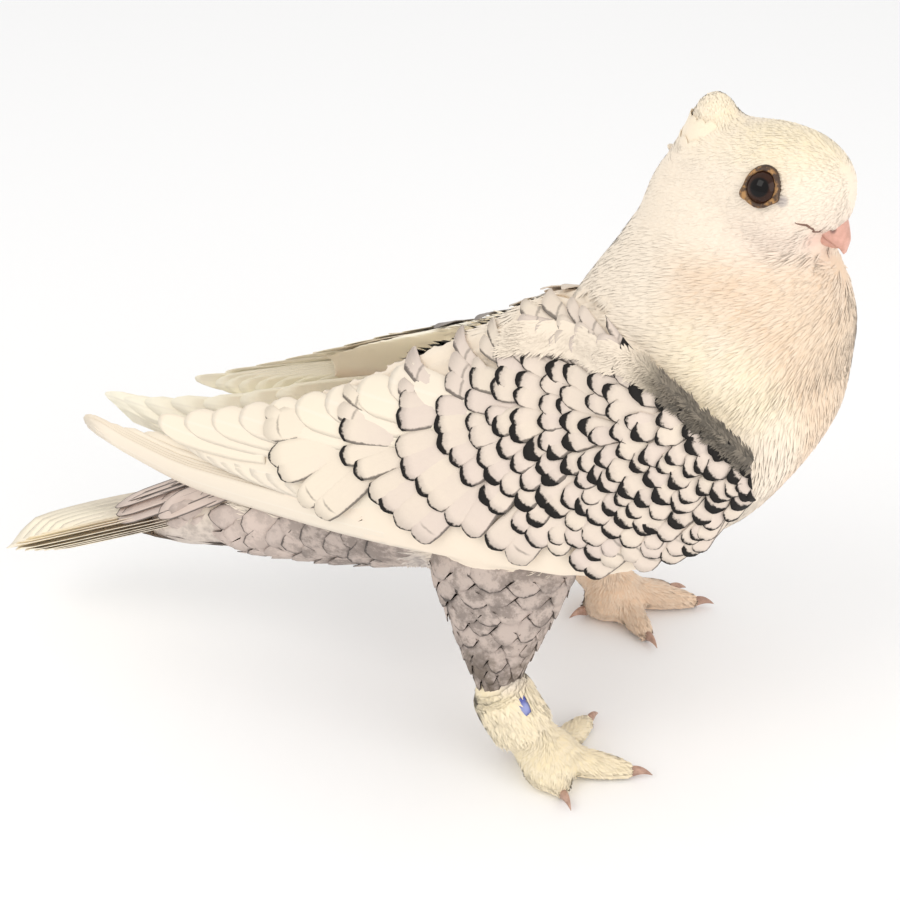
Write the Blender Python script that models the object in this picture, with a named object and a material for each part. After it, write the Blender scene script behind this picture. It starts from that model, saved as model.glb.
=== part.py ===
"""An old frill satinette pigeon, standing, at life size: one closed solid for each part of the body.

The bird faces +X, its left side is +Y, and the floor is z = 0. Sizes and places are in millimetres,
and a mesh is turned into metres as it is made. The near side of the bird is its right side, at -Y.
"""
import math

import bmesh
import bpy
import numpy as np

MM = 0.001
GAP = 0.35
RIGHT, LEFT = -1.0, 1.0
UP = np.array((0.0, 0.0, 1.0))

# The whole bird is shifted by this much, so that the middle of its floor box is the origin.
ORIGIN_SHIFT = np.array((55.0, -9.235, 0.0))

# Torso stations: place along the body, underside, back, half width.
TORSO = (
    (62.5, 110.0, 115.0, 3.0),
    (59.5, 102.5, 120.0, 16.0),
    (52.0, 90.0, 123.0, 28.0),
    (41.0, 76.5, 124.0, 35.5),
    (23.0, 63.5, 124.0, 38.5),
    (0.0, 54.0, 122.0, 39.5),
    (-25.0, 49.0, 111.5, 36.0),
    (-50.0, 43.5, 99.0, 28.5),
    (-75.0, 39.5, 83.0, 21.5),
    (-96.0, 38.0, 68.5, 15.5),
    (-104.0, 40.5, 62.5, 11.5),
)
TORSO_ROUNDNESS = 2.15

# Neck stations: height, back, front, half width.
NECK = (
    (98.0, 2.0, 52.0, 28.0),
    (105.0, -6.0, 57.5, 31.5),
    (112.0, -10.0, 61.0, 32.5),
    (120.0, -10.0, 62.3, 31.0),
    (128.0, -6.5, 62.2, 27.8),
    (136.0, -1.5, 60.5, 24.2),
    (143.0, 3.0, 57.5, 21.2),
    (150.0, 6.5, 53.0, 18.8),
    (158.0, 9.0, 48.0, 16.0),
    (165.0, 13.0, 36.0, 9.0),
)
HEAD_YAW = math.radians(-20.0)
HEAD_PIVOT = 31.0
NECK_TWIST = (110.0, 155.0)

# Head stations, forward of the pivot: place, underside, crown, half width.
HEAD = (
    (-17.5, 160.0, 165.0, 3.5),
    (-15.0, 153.0, 169.5, 8.8),
    (-9.0, 146.0, 173.0, 12.6),
    (0.0, 142.0, 175.2, 14.8),
    (9.0, 141.0, 176.0, 15.4),
    (16.0, 142.5, 175.2, 14.8),
    (21.0, 146.0, 173.4, 12.4),
    (24.8, 150.5, 170.8, 9.2),
    (27.2, 154.8, 167.8, 5.8),
    (28.4, 159.0, 164.5, 2.4),
)
HEAD_ROUNDNESS = 2.1
EYE_PLACE = (11.2, 10.4, 165.0)
EYE_RADIUS = 5.0
LID_RADIUS = 4.3
LID_THICKNESS = 0.95
LID_OUT = 14.2
SMOOTH_ANGLE = math.radians(35.0)

# Beak: the corner of the mouth, the fall of its axis, and the lengths of the two halves from there.
GAPE = (20.0, 158.0)
BEAK_FALL = math.radians(42.0)
UPPER_BEAK = (
    (1.0, 3.2, 5.0),
    (4.0, 4.8, 5.0),
    (7.0, 4.3, 4.4),
    (9.4, 3.1, 3.4),
    (11.4, 1.8, 2.0),
    (12.8, 0.5, 0.6),
)
LOWER_BEAK = (
    (1.7, 2.6, 4.5),
    (4.0, 3.3, 4.6),
    (7.5, 3.2, 3.9),
    (9.8, 2.1, 2.6),
    (11.2, 0.7, 1.0),
)
BEAK_ROUND = 0.9
HOOK = 1.2
HOOK_LENGTH = 2.0
NOSTRIL = (7.0, 2.7, 3.6)
NOSTRIL_RADII = (1.0, 0.7, 0.35)
CERE = (4.6, 4.5, 1.9)
CERE_RADII = (2.1, 1.8, 1.5)

# Crest: tiers of feathers rising from round the back of the head to a small rounded peak.
# Of each tier: feathers, its middle's root and tip (forward, height), roots' and tips' spread, half width.
CREST_TIERS = (
    (6, (-4.5, 167.5), (-5.6, 180.0), 8.5, 4.4, 3.2),
    (5, (-6.5, 159.5), (-7.5, 173.5), 9.6, 6.0, 3.6),
    (3, (-8.0, 157.5), (-17.0, 163.5), 6.5, 4.4, 2.8),
)
CREST_TURN = math.radians(82.0)
CREST_THICKNESS = 0.7
CREST_FORWARD = 4.0
CREST_FALL = 2.4
CREST_BULGE = 0.8

# Frill: rows of locks that part to both sides along the front of the neck and breast.
NECK_FRILL = (139.0, 133.5, 128.0, 122.5, 117.0)
BREAST_FRILL = (103.5, 98.0)
FRILL_REACH = 0.82
FRILL_THICKNESS = 0.8
FRILL_SHORTER = 0.09
FRILL_FALL = 4.5
FRILL_HALF = 2.9
FRILL_LIFT = (-0.9, 0.9)
BREAST_MIDDLE = 28.0

# Wing, in a side view: from the wrist to the tip, with heights above and below that line.
WRIST = np.array((44.0, 102.0))
WING_TIP = np.array((-140.0, 76.0))
WING_TOP = (
    (0, 6), (11, 16), (24, 27), (40, 34), (54, 34), (69, 27), (109, 14.5), (148, 6), (170, 3.5), (188, 1),
)
WING_LOW = ((0, -6), (16, -20.5), (43, -27.5), (84, -23.5), (120, -21.5), (152, -20), (176, -12.5), (188, -5))
BREADTH_TOP = ((0, 38), (24, 31), (50, 4), (69, 4), (90, 9), (109, 13), (148, 12), (170, 9), (188, 7))
BREADTH_OUT = ((0, 40), (20, 44.5), (45, 46), (84, 42.5), (109, 36), (130, 28.5), (156, 18.5), (188, 9))
WING_ROUND = (1.75, 0.54)
WING_CURL = 5.0
# Of each wing: how far its wrist and tip sit off the line above, its roll about the body, and its
# upper edge as a share of the heights above.
WING_SET = {RIGHT: (0.0, 0.0, 0.0), LEFT: (-2.5, 0.5, math.radians(3.0))}
TOP_SHARE = {RIGHT: 1.0, LEFT: 0.9}
ROLL_HEIGHT = 78.0
CORE_THICKNESS = ((0, 5), (20, 11), (60, 11), (90, 8), (112, 3.5), (124, 1.6))
CORE_END = 124.0
CORE_EDGE = 0.9
CORE_CROWDING = 1.3
POCKET_HEIGHT = 18.0
BED_EASE = 0.15
EDGE_EASE = 0.6

# Coverts: of each row how far it reaches and its count; the lower ones of a row end nearer the wrist.
COVERT_ROWS = ((124.0, 3), (109.5, 4), (95.0, 5), (81.0, 5), (67.0, 5))
COVERT_SWING = (24.0, 2.2)
COVERT_LENGTH = 24.0
COVERT_SPAN = (0.08, 0.84)
COVERT_LIFT = (-0.8, 1.2)
VANE_THICKNESS = 0.55

# Secondaries and primaries: where their tips end, where they lie across the wing, and how they are stacked.
SECONDARIES = 6
SECONDARY_TIPS = (153.0, 36.0, 1.3)
SECONDARY_ROOTS_ACROSS = (9.5, -20.0)
SECONDARY_TIPS_ACROSS = (1.5, -15.5)
SECONDARY_LENGTH = 52.0
SECONDARY_HALF = 4.9
SECONDARY_LIFT = -1.3
PRIMARIES = 7
PRIMARY_TIPS = (141.0, 45.5, 1.12)
PRIMARY_ROOTS = (88.0, 1.7)
PRIMARY_ACROSS = (4.4, 1.5)
PRIMARY_HALF = 4.6
PRIMARY_LIFT = (-3.95, 1.6)
STACK_STEP = 0.87
STACK_TILT = 0.15

# Tail: twelve feathers in a low roof, from the end of the torso to the tip.
TAIL_ROOT = np.array((-106.0, 0.0, 54.5))
TAIL_END = np.array((-172.5, 0.0, 27.8))
TAIL_PAIRS = 6
TAIL_STEP = (0.9, 0.72)
TAIL_SHORTER = 1.6
TAIL_HALF = (7.8, 0.5)
TAIL_SLOPE = 0.2
TAIL_TIP_THICKNESS = 0.4
TAIL_RIDGE = 0.2
TAIL_STUMP = (
    (-99.0, 39.5, 65.0, 12.5),
    (-108.0, 37.0, 60.0, 12.5),
    (-116.0, 36.0, 54.5, 10.5),
    (-124.0, 36.5, 49.0, 7.5),
)
# Tail coverts: of the middle and of the side ones their root, tip and half width, above and below.
TAIL_COVERTS = (
    ((-102.0, 0.0, 61.0), (-131.0, 0.0, 50.0), 5.2),
    ((-100.0, 0.0, 39.0), (-138.0, 0.0, 26.0), 5.2),
)
TAIL_SIDE_COVERTS = (
    ((-103.0, 4.8, 58.5), (-137.0, 5.0, 45.5), 4.6, 1.0),
    ((-100.0, 4.8, 40.5), (-148.0, 5.0, 26.5), 4.6, -1.0),
)

# Legs: the thigh's top, the hock, the foot's middle, and of each toe its length, heading and girth.
THIGH_TOP = {RIGHT: (-18.5, -24.0, 66.0), LEFT: (-15.0, 25.0, 66.0)}
HOCK = {RIGHT: (-18.0, -32.0, 29.0), LEFT: (-15.0, 46.0, 29.0)}
FOOT = {RIGHT: (-4.0, -30.5, 0.0), LEFT: (-1.0, 50.0, 0.0)}
TOES = {
    RIGHT: (
        ("middle", 28.0, 9.0, 1.05),
        ("inner", 28.0, 72.0, 0.95),
        ("outer", 17.8, -57.0, 1.1),
        ("back", 15.0, 146.0, 1.0),
    ),
    LEFT: (
        ("middle", 30.0, 14.0, 1.1),
        ("inner", 25.5, -50.0, 1.05),
        ("outer", 24.0, 35.0, 1.1),
        ("back", 16.0, -135.0, 1.3),
    ),
}
TOE_RADIUS = 4.1
TOE_RADII = ((0.0, 1.3), (0.35, 1.12), (0.7, 0.95), (1.0, 0.62))
TOE_HEIGHTS = ((0.0, 5.6), (0.4, 4.0), (0.75, 3.2), (1.0, 2.3))
CLAW_LENGTH = 5.0
CLAW_RADIUS = (1.55, 0.22)
CLAW_HEIGHTS = (1.9, 0.9, -1.0)
FOOT_BALL = (9.2, 8.6, 7.4)
FOOT_HEIGHT = 6.4
HEEL = {RIGHT: (1.5, -5.5, 5.0), LEFT: (-1.0, -6.5, 5.2)}
HEEL_RADII = (7.2, 6.0, 6.6)
THIGH_DEPTH = ((-0.2, 22.0), (0.2, 19.0), (0.6, 13.0), (0.9, 7.8), (1.1, 4.2))
THIGH_WIDTH = ((-0.2, 14.0), (0.2, 13.5), (0.6, 10.5), (0.9, 7.0), (1.1, 3.8))
SHANK_SHARES = (0.0, 0.08, 0.155, 0.165, 0.495, 0.505, 0.7, 1.0)
SHANK_RADII = (5.8, 7.4, 7.9, 7.9, 7.9, 7.9, 7.2, 6.2)
SHANK_BOW = 1.6

# Leg ring: a plain band round the right shank, in a step below the hock.
RING_PLACE = (0.20, 0.46)
RING_RADII = (7.2, 8.0)
RING_STEP = 6.85

COLOURS = {
    "cream": (0.86, 0.82, 0.72),
    "pink": (0.80, 0.55, 0.48),
    "horn": (0.62, 0.42, 0.36),
    "dark": (0.03, 0.018, 0.012),
    "laced": (0.70, 0.66, 0.64),
    "grey": (0.45, 0.43, 0.44),
    "violet": (0.22, 0.24, 0.62),
}


def through(stations, place):
    """The smooth curves through (place, value, ...) stations, one for each value, with no overshoot."""
    table = np.array(sorted(stations), float)
    knots = table[:, 0]
    values = table[:, 1:]
    place = np.clip(np.asarray(place, float), knots[0], knots[-1])
    rise = np.diff(values, axis=0) / np.diff(knots)[:, None]
    product = rise[:-1] * rise[1:]
    total = np.where(product > 0, rise[:-1] + rise[1:], 1.0)
    slope = np.vstack([rise[:1], np.where(product > 0, 2 * product / total, 0.0), rise[-1:]])
    cell = np.clip(np.searchsorted(knots, place) - 1, 0, len(knots) - 2)
    span = (knots[cell + 1] - knots[cell])[..., None]
    f = (place - knots[cell])[..., None] / span
    low, high = values[cell], values[cell + 1]
    cubic = (low * (1 + 2 * f) * (1 - f) ** 2 + high * f * f * (3 - 2 * f)
             + span * (slope[cell] * f * (1 - f) ** 2 - slope[cell + 1] * f * f * (1 - f)))
    return cubic[..., 0] if cubic.shape[-1] == 1 else np.moveaxis(cubic, -1, 0)


def power(value, exponent):
    """A power that keeps the sign, for a rounded square section."""
    return np.sign(value) * np.abs(value) ** exponent


def solid(name, points, faces, colour, roughness=0.6):
    """Makes the object of a closed mesh, from points in millimetres, with its own material."""
    mesh = bpy.data.meshes.new(name)
    placed = (np.asarray(points, float) + ORIGIN_SHIFT) * MM
    mesh.from_pydata([tuple(point) for point in placed.tolist()], [], [tuple(face) for face in faces])
    work = bmesh.new()
    work.from_mesh(mesh)
    bmesh.ops.recalc_face_normals(work, faces=work.faces)
    if work.calc_volume(signed=True) < 0:
        bmesh.ops.reverse_faces(work, faces=work.faces)
    work.to_mesh(mesh)
    work.free()
    made = bpy.data.objects.new(name, mesh)
    bpy.context.scene.collection.objects.link(made)
    material = bpy.data.materials.new(name)
    material.use_nodes = True
    shader = material.node_tree.nodes["Principled BSDF"]
    shader.inputs["Base Color"].default_value = (*COLOURS[colour], 1.0)
    shader.inputs["Roughness"].default_value = roughness
    shader.inputs["Metallic"].default_value = 0.0
    mesh.materials.append(material)
    return made


def shade_round(made):
    """Shades a finished part smooth, with a sharp line only where two faces meet at a real edge."""
    made.data.shade_smooth()
    made.data.set_sharp_from_angle(angle=SMOOTH_ANGLE)


def loft(rings):
    """Points and faces of the closed skin over a row of rings, each closed by a fan at the ends."""
    rings = np.asarray(rings, float)
    count, around = rings.shape[:2]
    points = np.vstack([rings.reshape(-1, 3), rings[0].mean(axis=0), rings[-1].mean(axis=0)])
    faces = []
    for ring in range(count - 1):
        for step in range(around):
            a, b = ring * around + step, ring * around + (step + 1) % around
            faces += [(a, b, b + around), (a, b + around, a + around)]
    last = (count - 1) * around
    for step in range(around):
        after = (step + 1) % around
        faces.append((after, step, count * around))
        faces.append((last + step, last + after, count * around + 1))
    return points, faces


def vane_mesh(top, bottom):
    """Points and faces of a thin leaf, from its upper and lower grids, split alike on both faces."""
    top, bottom = np.asarray(top, float), np.asarray(bottom, float)
    rows, columns = top.shape[:2]
    under = rows * columns
    points = np.vstack([top.reshape(-1, 3), bottom.reshape(-1, 3)])
    faces = []

    def corner(row, column, layer=0):
        return layer * under + row * columns + column

    for row in range(rows - 1):
        for column in range(columns - 1):
            a, b = corner(row, column), corner(row + 1, column)
            c, d = corner(row + 1, column + 1), corner(row, column + 1)
            faces += [(a, b, c), (a, c, d)]
            faces += [(under + c, under + b, under + a), (under + d, under + c, under + a)]
    rim = [corner(row, 0) for row in range(rows)]
    rim += [corner(rows - 1, column) for column in range(1, columns)]
    rim += [corner(row, columns - 1) for row in range(rows - 2, -1, -1)]
    rim += [corner(0, column) for column in range(columns - 2, 0, -1)]
    for place, here in enumerate(rim):
        after = rim[(place + 1) % len(rim)]
        faces += [(here, under + here, under + after), (here, under + after, after)]
    return points, faces


def leaf_widths(rows, root=0.6, tip=0.35):
    """Half widths along a feather, as shares of the widest: narrow root, full middle, rounded tip."""
    return through(((0.0, root), (0.35, 0.95), (0.65, 1.0), (0.88, 0.8), (1.0, tip)), np.linspace(0, 1, rows))


def largest_shell(made):
    """Keeps only the largest closed surface of an object's mesh."""
    work = bmesh.new()
    work.from_mesh(made.data)
    work.verts.ensure_lookup_table()
    seen = set()
    shells = []
    for start in work.verts:
        if start.index in seen:
            continue
        shell, waiting = [], [start]
        seen.add(start.index)
        while waiting:
            vertex = waiting.pop()
            shell.append(vertex)
            for edge in vertex.link_edges:
                other = edge.other_vert(vertex)
                if other.index not in seen:
                    seen.add(other.index)
                    waiting.append(other)
        shells.append(shell)
    shells.sort(key=len, reverse=True)
    loose = [vertex for shell in shells[1:] for vertex in shell]
    bmesh.ops.delete(work, geom=loose, context="VERTS")
    work.to_mesh(made.data)
    work.free()


def combine(made, others, operation):
    """Joins other closed objects to this one, or cuts them from it, and removes them."""
    if not others:
        return made
    group = bpy.data.collections.new("group")
    bpy.context.scene.collection.children.link(group)
    for other in others:
        bpy.context.scene.collection.objects.unlink(other)
        group.objects.link(other)
    modifier = made.modifiers.new("combine", "BOOLEAN")
    modifier.operation = operation
    modifier.operand_type = "COLLECTION"
    modifier.collection = group
    modifier.solver = "MANIFOLD"
    graph = bpy.context.evaluated_depsgraph_get()
    mesh = bpy.data.meshes.new_from_object(made.evaluated_get(graph))
    material = made.data.materials[0]
    made.modifiers.clear()
    made.data = mesh
    mesh.materials.clear()
    mesh.materials.append(material)
    for other in others:
        bpy.data.objects.remove(other)
    bpy.data.collections.remove(group)
    largest_shell(made)
    return made


def fuse(made, others):
    """Joins the pieces that grow from an object to it."""
    return combine(made, others, "UNION")


def carve(made, cutters):
    """Cuts a little more than its neighbours from an object, so that they meet face to face."""
    return combine(made, cutters, "DIFFERENCE")


def section_rings(stations, places, around, roundness, grow=0.0):
    """Upright rings along X: at each place, a rounded section from the underside to the top."""
    angle = np.linspace(0, 2 * np.pi, around, endpoint=False)
    low, high, half = through(stations, places)
    middle, height, half = (low + high) / 2, (high - low) / 2 + grow, half + grow
    across = half[:, None] * power(np.cos(angle), 2 / roundness)
    upward = middle[:, None] + height[:, None] * power(np.sin(angle), 2 / roundness)
    along = np.array(places, float)
    along[0] += grow * np.sign(along[0] - along[-1])
    along[-1] -= grow * np.sign(along[0] - along[-1])
    return np.stack([np.repeat(along[:, None], around, axis=1), across, upward], axis=-1)


def end_spaced(first, last, count):
    """Places from first to last, closer together near both round ends."""
    share = 0.5 - 0.5 * np.cos(np.linspace(0, np.pi, count))
    return first + (last - first) * share


def torso_rings(grow=0.0):
    """The torso's rings, from the breast to the root of the tail."""
    places = end_spaced(TORSO[0][0], TORSO[-1][0], 18)
    return section_rings(TORSO, places, 26, TORSO_ROUNDNESS, grow)


def torso_side(place, height):
    """Half width of the torso at a place along the body and a height."""
    low, high, half = through(TORSO, place)
    share = np.clip(np.abs(height - (low + high) / 2) / ((high - low) / 2), 0, 1)
    return half * (1 - share ** TORSO_ROUNDNESS) ** (1 / TORSO_ROUNDNESS)


def twist(height):
    """How far the neck has turned towards the camera's side at a height, in radians."""
    share = np.clip((np.asarray(height, float) - NECK_TWIST[0]) / (NECK_TWIST[1] - NECK_TWIST[0]), 0, 1)
    return HEAD_YAW * share * share * (3 - 2 * share)


def turned(points, angle):
    """Points turned about the upright line through the head's pivot."""
    points = np.array(points, float)
    x, y = points[..., 0] - HEAD_PIVOT, points[..., 1].copy()
    points[..., 0] = HEAD_PIVOT + x * np.cos(angle) - y * np.sin(angle)
    points[..., 1] = x * np.sin(angle) + y * np.cos(angle)
    return points


def neck_point(height, angle, grow=0.0):
    """A point of the neck's skin, at a height and an angle from straight ahead, turned with the neck."""
    back, front, half = through(NECK, height)
    middle, depth = (back + front) / 2, (front - back) / 2 + grow
    x = middle + depth * np.cos(angle)
    y = (half + grow) * np.sin(angle)
    point = np.stack(np.broadcast_arrays(x, y, height), axis=-1)
    return turned(point, twist(height))


def neck_rings(grow=0.0):
    """The neck's rings, from inside the breast to inside the head."""
    heights = np.linspace(NECK[0][0], NECK[-1][0], 13)
    angle = np.linspace(0, 2 * np.pi, 24, endpoint=False)
    rings = neck_point(heights[:, None], angle[None, :], grow)
    rings[-1, :, 2] += grow
    return rings


def head_rings(grow=0.0):
    """The head's rings, from the nape to the forehead, turned by its yaw."""
    places = end_spaced(HEAD[0][0], HEAD[-1][0], 14)
    rings = section_rings(HEAD, places, 22, HEAD_ROUNDNESS, grow)
    rings[..., 0] += HEAD_PIVOT
    return turned(rings, HEAD_YAW)


def on_head(x, y, z):
    """A place given forward of the head's pivot, in the turned head."""
    return turned(np.stack(np.broadcast_arrays(np.asarray(x, float) + HEAD_PIVOT, y, z), axis=-1), HEAD_YAW)


def ball_rings(centre, radii, count=8, around=16):
    """Rings of an ellipsoid about an upright axis."""
    polar = np.linspace(0.12, np.pi - 0.12, count)
    angle = np.linspace(0, 2 * np.pi, around, endpoint=False)
    x = centre[0] + radii[0] * np.sin(polar)[:, None] * np.cos(angle)
    y = centre[1] + radii[1] * np.sin(polar)[:, None] * np.sin(angle)
    z = centre[2] + radii[2] * np.repeat(np.cos(polar)[:, None], around, axis=1)
    return np.stack([x, y, z], axis=-1)


def eye_centre(side):
    """The middle of an eye, in the turned head."""
    return on_head(EYE_PLACE[0], side * EYE_PLACE[1], EYE_PLACE[2])


def lid_rings(side):
    """A ring of lids about an eye, standing a little proud of the cheek."""
    around, tube = 14, 6
    turn = np.linspace(0, 2 * np.pi, around, endpoint=False)[:, None]
    about = np.linspace(0, 2 * np.pi, tube, endpoint=False)[None, :]
    radius = LID_RADIUS + LID_THICKNESS * np.cos(about)
    x = EYE_PLACE[0] + radius * np.cos(turn)
    z = EYE_PLACE[2] + radius * np.sin(turn)
    y = side * (LID_OUT + LID_THICKNESS * np.sin(about) + 0 * turn)
    return on_head(x, y, z)


def ring_mesh(rings):
    """Points and faces of a closed ring of sections, such as a lid."""
    rings = np.asarray(rings, float)
    count, around = rings.shape[:2]
    faces = []
    for ring in range(count):
        after_ring = (ring + 1) % count
        for step in range(around):
            after = (step + 1) % around
            faces.append((ring * around + step, ring * around + after,
                          after_ring * around + after, after_ring * around + step))
    return rings.reshape(-1, 3), faces


def beak_place(along, up, across):
    """A place along the beak's axis from the mouth's corner, above it and to one side."""
    x = GAPE[0] + along * math.cos(BEAK_FALL) + up * math.sin(BEAK_FALL)
    z = GAPE[1] - along * math.sin(BEAK_FALL) + up * math.cos(BEAK_FALL)
    return on_head(x, across, z)


def beak_rings(stations, upward, grow=0.0):
    """Rings of half a beak: flat along the mouth, arched above or below it."""
    places = np.linspace(stations[0][0], stations[-1][0], 9)
    height, half = through(stations, places)
    height, half = height + 2 * grow, half + grow
    places[0] -= grow
    places[-1] += grow
    angle = np.linspace(0, np.pi, 9)
    arch_y = half[:, None] * power(np.cos(angle), BEAK_ROUND)
    arch_h = height[:, None] * power(np.sin(angle), BEAK_ROUND)
    base = GAP / 2 - grow
    if not upward:
        return beak_place(places[:, None], -(base + arch_h), arch_y)
    hook = HOOK * np.clip((places - LOWER_BEAK[-1][0]) / HOOK_LENGTH, 0, 1)
    return beak_place(places[:, None], base + arch_h - hook[:, None], arch_y)


def wing_line():
    """Directions along the wing, from wrist to tip, and across it, in the side view."""
    along = (WING_TIP - WRIST) / np.linalg.norm(WING_TIP - WRIST)
    return along, np.array((along[1], -along[0]))


def wing_sheet(s, t, lift, side, tilt=1.0):
    """A point of the folded wing: s from wrist to tip, t across it, lift outward from its surface."""
    s, t, lift = np.broadcast_arrays(np.asarray(s, float), np.asarray(t, float), np.asarray(lift, float))

    def breadth(s, t):
        top, low = through(WING_TOP, s), through(WING_LOW, s)
        share = np.clip((top - t) / (top - low), 0, 1.15)
        inner, outer = through(BREADTH_TOP, s), through(BREADTH_OUT, s)
        round_off = np.clip(1 - np.abs(1 - share) ** WING_ROUND[0], 0, 1) ** WING_ROUND[1]
        return inner + (outer - inner) * round_off - WING_CURL * np.clip(share, 0, 2) ** 4

    step = 0.6
    out = breadth(s, t)
    slope_s = (breadth(s + step, t) - breadth(s - step, t)) / (2 * step)
    slope_t = tilt * np.clip((breadth(s, t + step) - breadth(s, t - step)) / (2 * step), -1.6, 1.6)
    size = np.sqrt(1 + slope_s ** 2 + slope_t ** 2)
    s, t, out = s - lift * slope_s / size, t - lift * slope_t / size, out + lift / size
    t = t * np.where(t > 0, TOP_SHARE[side], 1.0)
    along, across = wing_line()
    x = WRIST[0] + s * along[0] + t * across[0]
    z = WRIST[1] + s * along[1] + t * across[1]
    wrist, tip, roll = WING_SET[side]
    z = z + wrist + (tip - wrist) * s / WING_TOP[-1][0] - ROLL_HEIGHT
    y = out * np.cos(roll) + z * np.sin(roll)
    return np.stack([x, side * y, ROLL_HEIGHT + z * np.cos(roll) - out * np.sin(roll)], axis=-1)


def core_grid():
    """The wing core's grid: places along and across the wing, which are inner ones, and its thickness."""
    places = end_spaced(0.0, CORE_END, 12)
    down = np.linspace(0, 1, 8) ** CORE_CROWDING
    share = np.concatenate([down, down[::-1]])
    inner = np.concatenate([0 * down, 0 * down + 1])
    top, low = through(WING_TOP, places)[:, None], through(WING_LOW, places)[:, None]
    depth = through(CORE_THICKNESS, places)[:, None]
    thickness = CORE_EDGE + depth * np.sqrt(np.clip(1 - np.abs(2 * share - 1) ** 3, 0, 1))
    return places[:, None], top + (low - top) * share, inner, thickness


def wing_core(side):
    """The wing's own body: a shell as thick as the folded arm, thin at its edges and towards the rear."""
    s, t, inner, thickness = core_grid()
    return wing_sheet(s, t, -inner * thickness, side, STACK_TILT)


def wing_pocket(side, grow):
    """What a wing's bed takes from the body: all that lies outside the inner face of its core."""
    s, t, inner, thickness = core_grid()
    rings = wing_sheet(s, t, -inner * (thickness + grow), side, STACK_TILT)
    outer = inner == 0
    edge = outer.sum()
    rings[..., 2] -= inner * grow * np.linspace(-3, 1, len(inner))
    rings[:, [0, -1], 2] += np.array((1, 2)) * grow
    rings[:, [edge - 1, edge], 2] -= grow + EDGE_EASE
    rings[:, [0, -1, edge - 1, edge], 0] += grow
    rings[0, :, 0] += grow
    rings[-1, :, 0] -= grow
    turn = np.clip(np.linspace(0, 3, edge), 0, 1) * math.pi / 2
    rings[:, outer] += POCKET_HEIGHT * np.stack([0 * turn, side * np.sin(turn), np.cos(turn)], axis=-1)
    return rings


def wing_vane(s, t, half, lift, side, tilt=1.0):
    """A feather laid on the wing along a line of places (s, t), with its lift at the root and at the tip."""
    rows = len(s)
    share = np.linspace(0, 1, rows)[:, None]
    width = half * leaf_widths(rows)[:, None]
    across = np.array((1.0, -1.0))[None, :]
    height = lift[0] + (lift[1] - lift[0]) * share
    s, t = s[:, None], t[:, None] + width * across
    layers = [wing_sheet(s, t, height + layer * VANE_THICKNESS / 2, side, tilt) for layer in (1, -1)]
    return vane_mesh(*layers)


def covert_vanes(side):
    """Rows of laced coverts, laid as shingles from the rear of the shield to the shoulder."""
    vanes = []
    for reach, count in COVERT_ROWS:
        for place in range(count):
            share = COVERT_SPAN[0] + COVERT_SPAN[1] * (place + 0.5) / count
            tip = reach - COVERT_SWING[0] * share ** COVERT_SWING[1]
            top, low = through(WING_TOP, tip), through(WING_LOW, tip)
            half = COVERT_SPAN[1] / 2 * (top - low) / count - 0.15
            s = np.linspace(tip - COVERT_LENGTH, tip, 4)
            t = np.full(4, top + (low - top) * share)
            lift = (COVERT_LIFT[0], COVERT_LIFT[1] + 0.1 * (place % 2))
            vanes.append(wing_vane(s, t, half, lift, side))
    return vanes


def secondary_vanes(side):
    """The plain ends of the secondaries, fanned from under the coverts along the wing's rear."""
    vanes = []
    reach, swing, bend = SECONDARY_TIPS
    for place in range(SECONDARIES):
        share = place / (SECONDARIES - 1)
        tip = reach - swing * share ** bend
        s = np.linspace(tip - SECONDARY_LENGTH, tip, 4)
        ends = [first + change * share for first, change in (SECONDARY_ROOTS_ACROSS, SECONDARY_TIPS_ACROSS)]
        t = np.linspace(ends[0], ends[1], 4)
        lift = SECONDARY_LIFT - STACK_STEP * (place % 3) - 0.02 * place
        vanes.append(wing_vane(s, t, SECONDARY_HALF, (lift, lift), side, STACK_TILT))
    return vanes


def primary_vanes(side):
    """The long flight feathers, stacked inward, their tips stepping out to the wing's tip."""
    vanes = []
    shortest, longer, bend = PRIMARY_TIPS
    for place in range(PRIMARIES):
        share = place / (PRIMARIES - 1)
        tip = shortest + longer * math.sin(share * math.pi / 2 * bend)
        s = np.linspace(PRIMARY_ROOTS[0] + PRIMARY_ROOTS[1] * place, tip, 5)
        fan = PRIMARY_ACROSS[1] * (PRIMARIES - 1 - place)
        t = through(WING_LOW, s) + PRIMARY_ACROSS[0] + fan * (s / tip)
        lift = PRIMARY_LIFT[0] - (STACK_STEP - 0.01) * place
        vanes.append(wing_vane(s, t, PRIMARY_HALF, (lift, lift + PRIMARY_LIFT[1]), side, STACK_TILT))
    return vanes


def make_wing(side, name):
    """A folded wing: its core, flight feathers and coverts in one, parted from the torso and neck."""
    wing = solid(name, *loft(wing_core(side)), "laced")
    vanes = primary_vanes(side) + secondary_vanes(side) + covert_vanes(side)
    fuse(wing, [solid("vane", *vane, "laced") for vane in vanes])
    body = [solid("body", *loft(torso_rings(GAP)), "cream"), solid("neck", *loft(neck_rings(GAP)), "cream")]
    for piece in body:
        carve(piece, [solid("pocket", *loft(wing_pocket(side, BED_EASE)), "cream")])
    return carve(wing, body)


def tail_vane(root, tip, half, slope, inner=-1.0):
    """A feather from a root to a tip, sloping to its outer side, with a low ridge along its shaft."""
    root, tip = np.array(root, float), np.array(tip, float)
    share = np.linspace(0, 1, 4)[:, None, None]
    across = np.linspace(inner, 1, 3)[None, :, None]
    line = root + (tip - root) * share
    width = half * leaf_widths(4, 0.75, 0.5)[:, None, None]
    middle = line + width * across * np.array((0.0, 1.0, slope))
    thickness = VANE_THICKNESS + (TAIL_TIP_THICKNESS - VANE_THICKNESS) * share ** 2
    ridge = TAIL_RIDGE * (1 - np.abs(2 * (across - inner) / (1 - inner) - 1))
    up = np.array((0.0, 0.0, 1.0)) * thickness * (0.5 + ridge)
    return vane_mesh(middle + up, middle - up)


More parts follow.
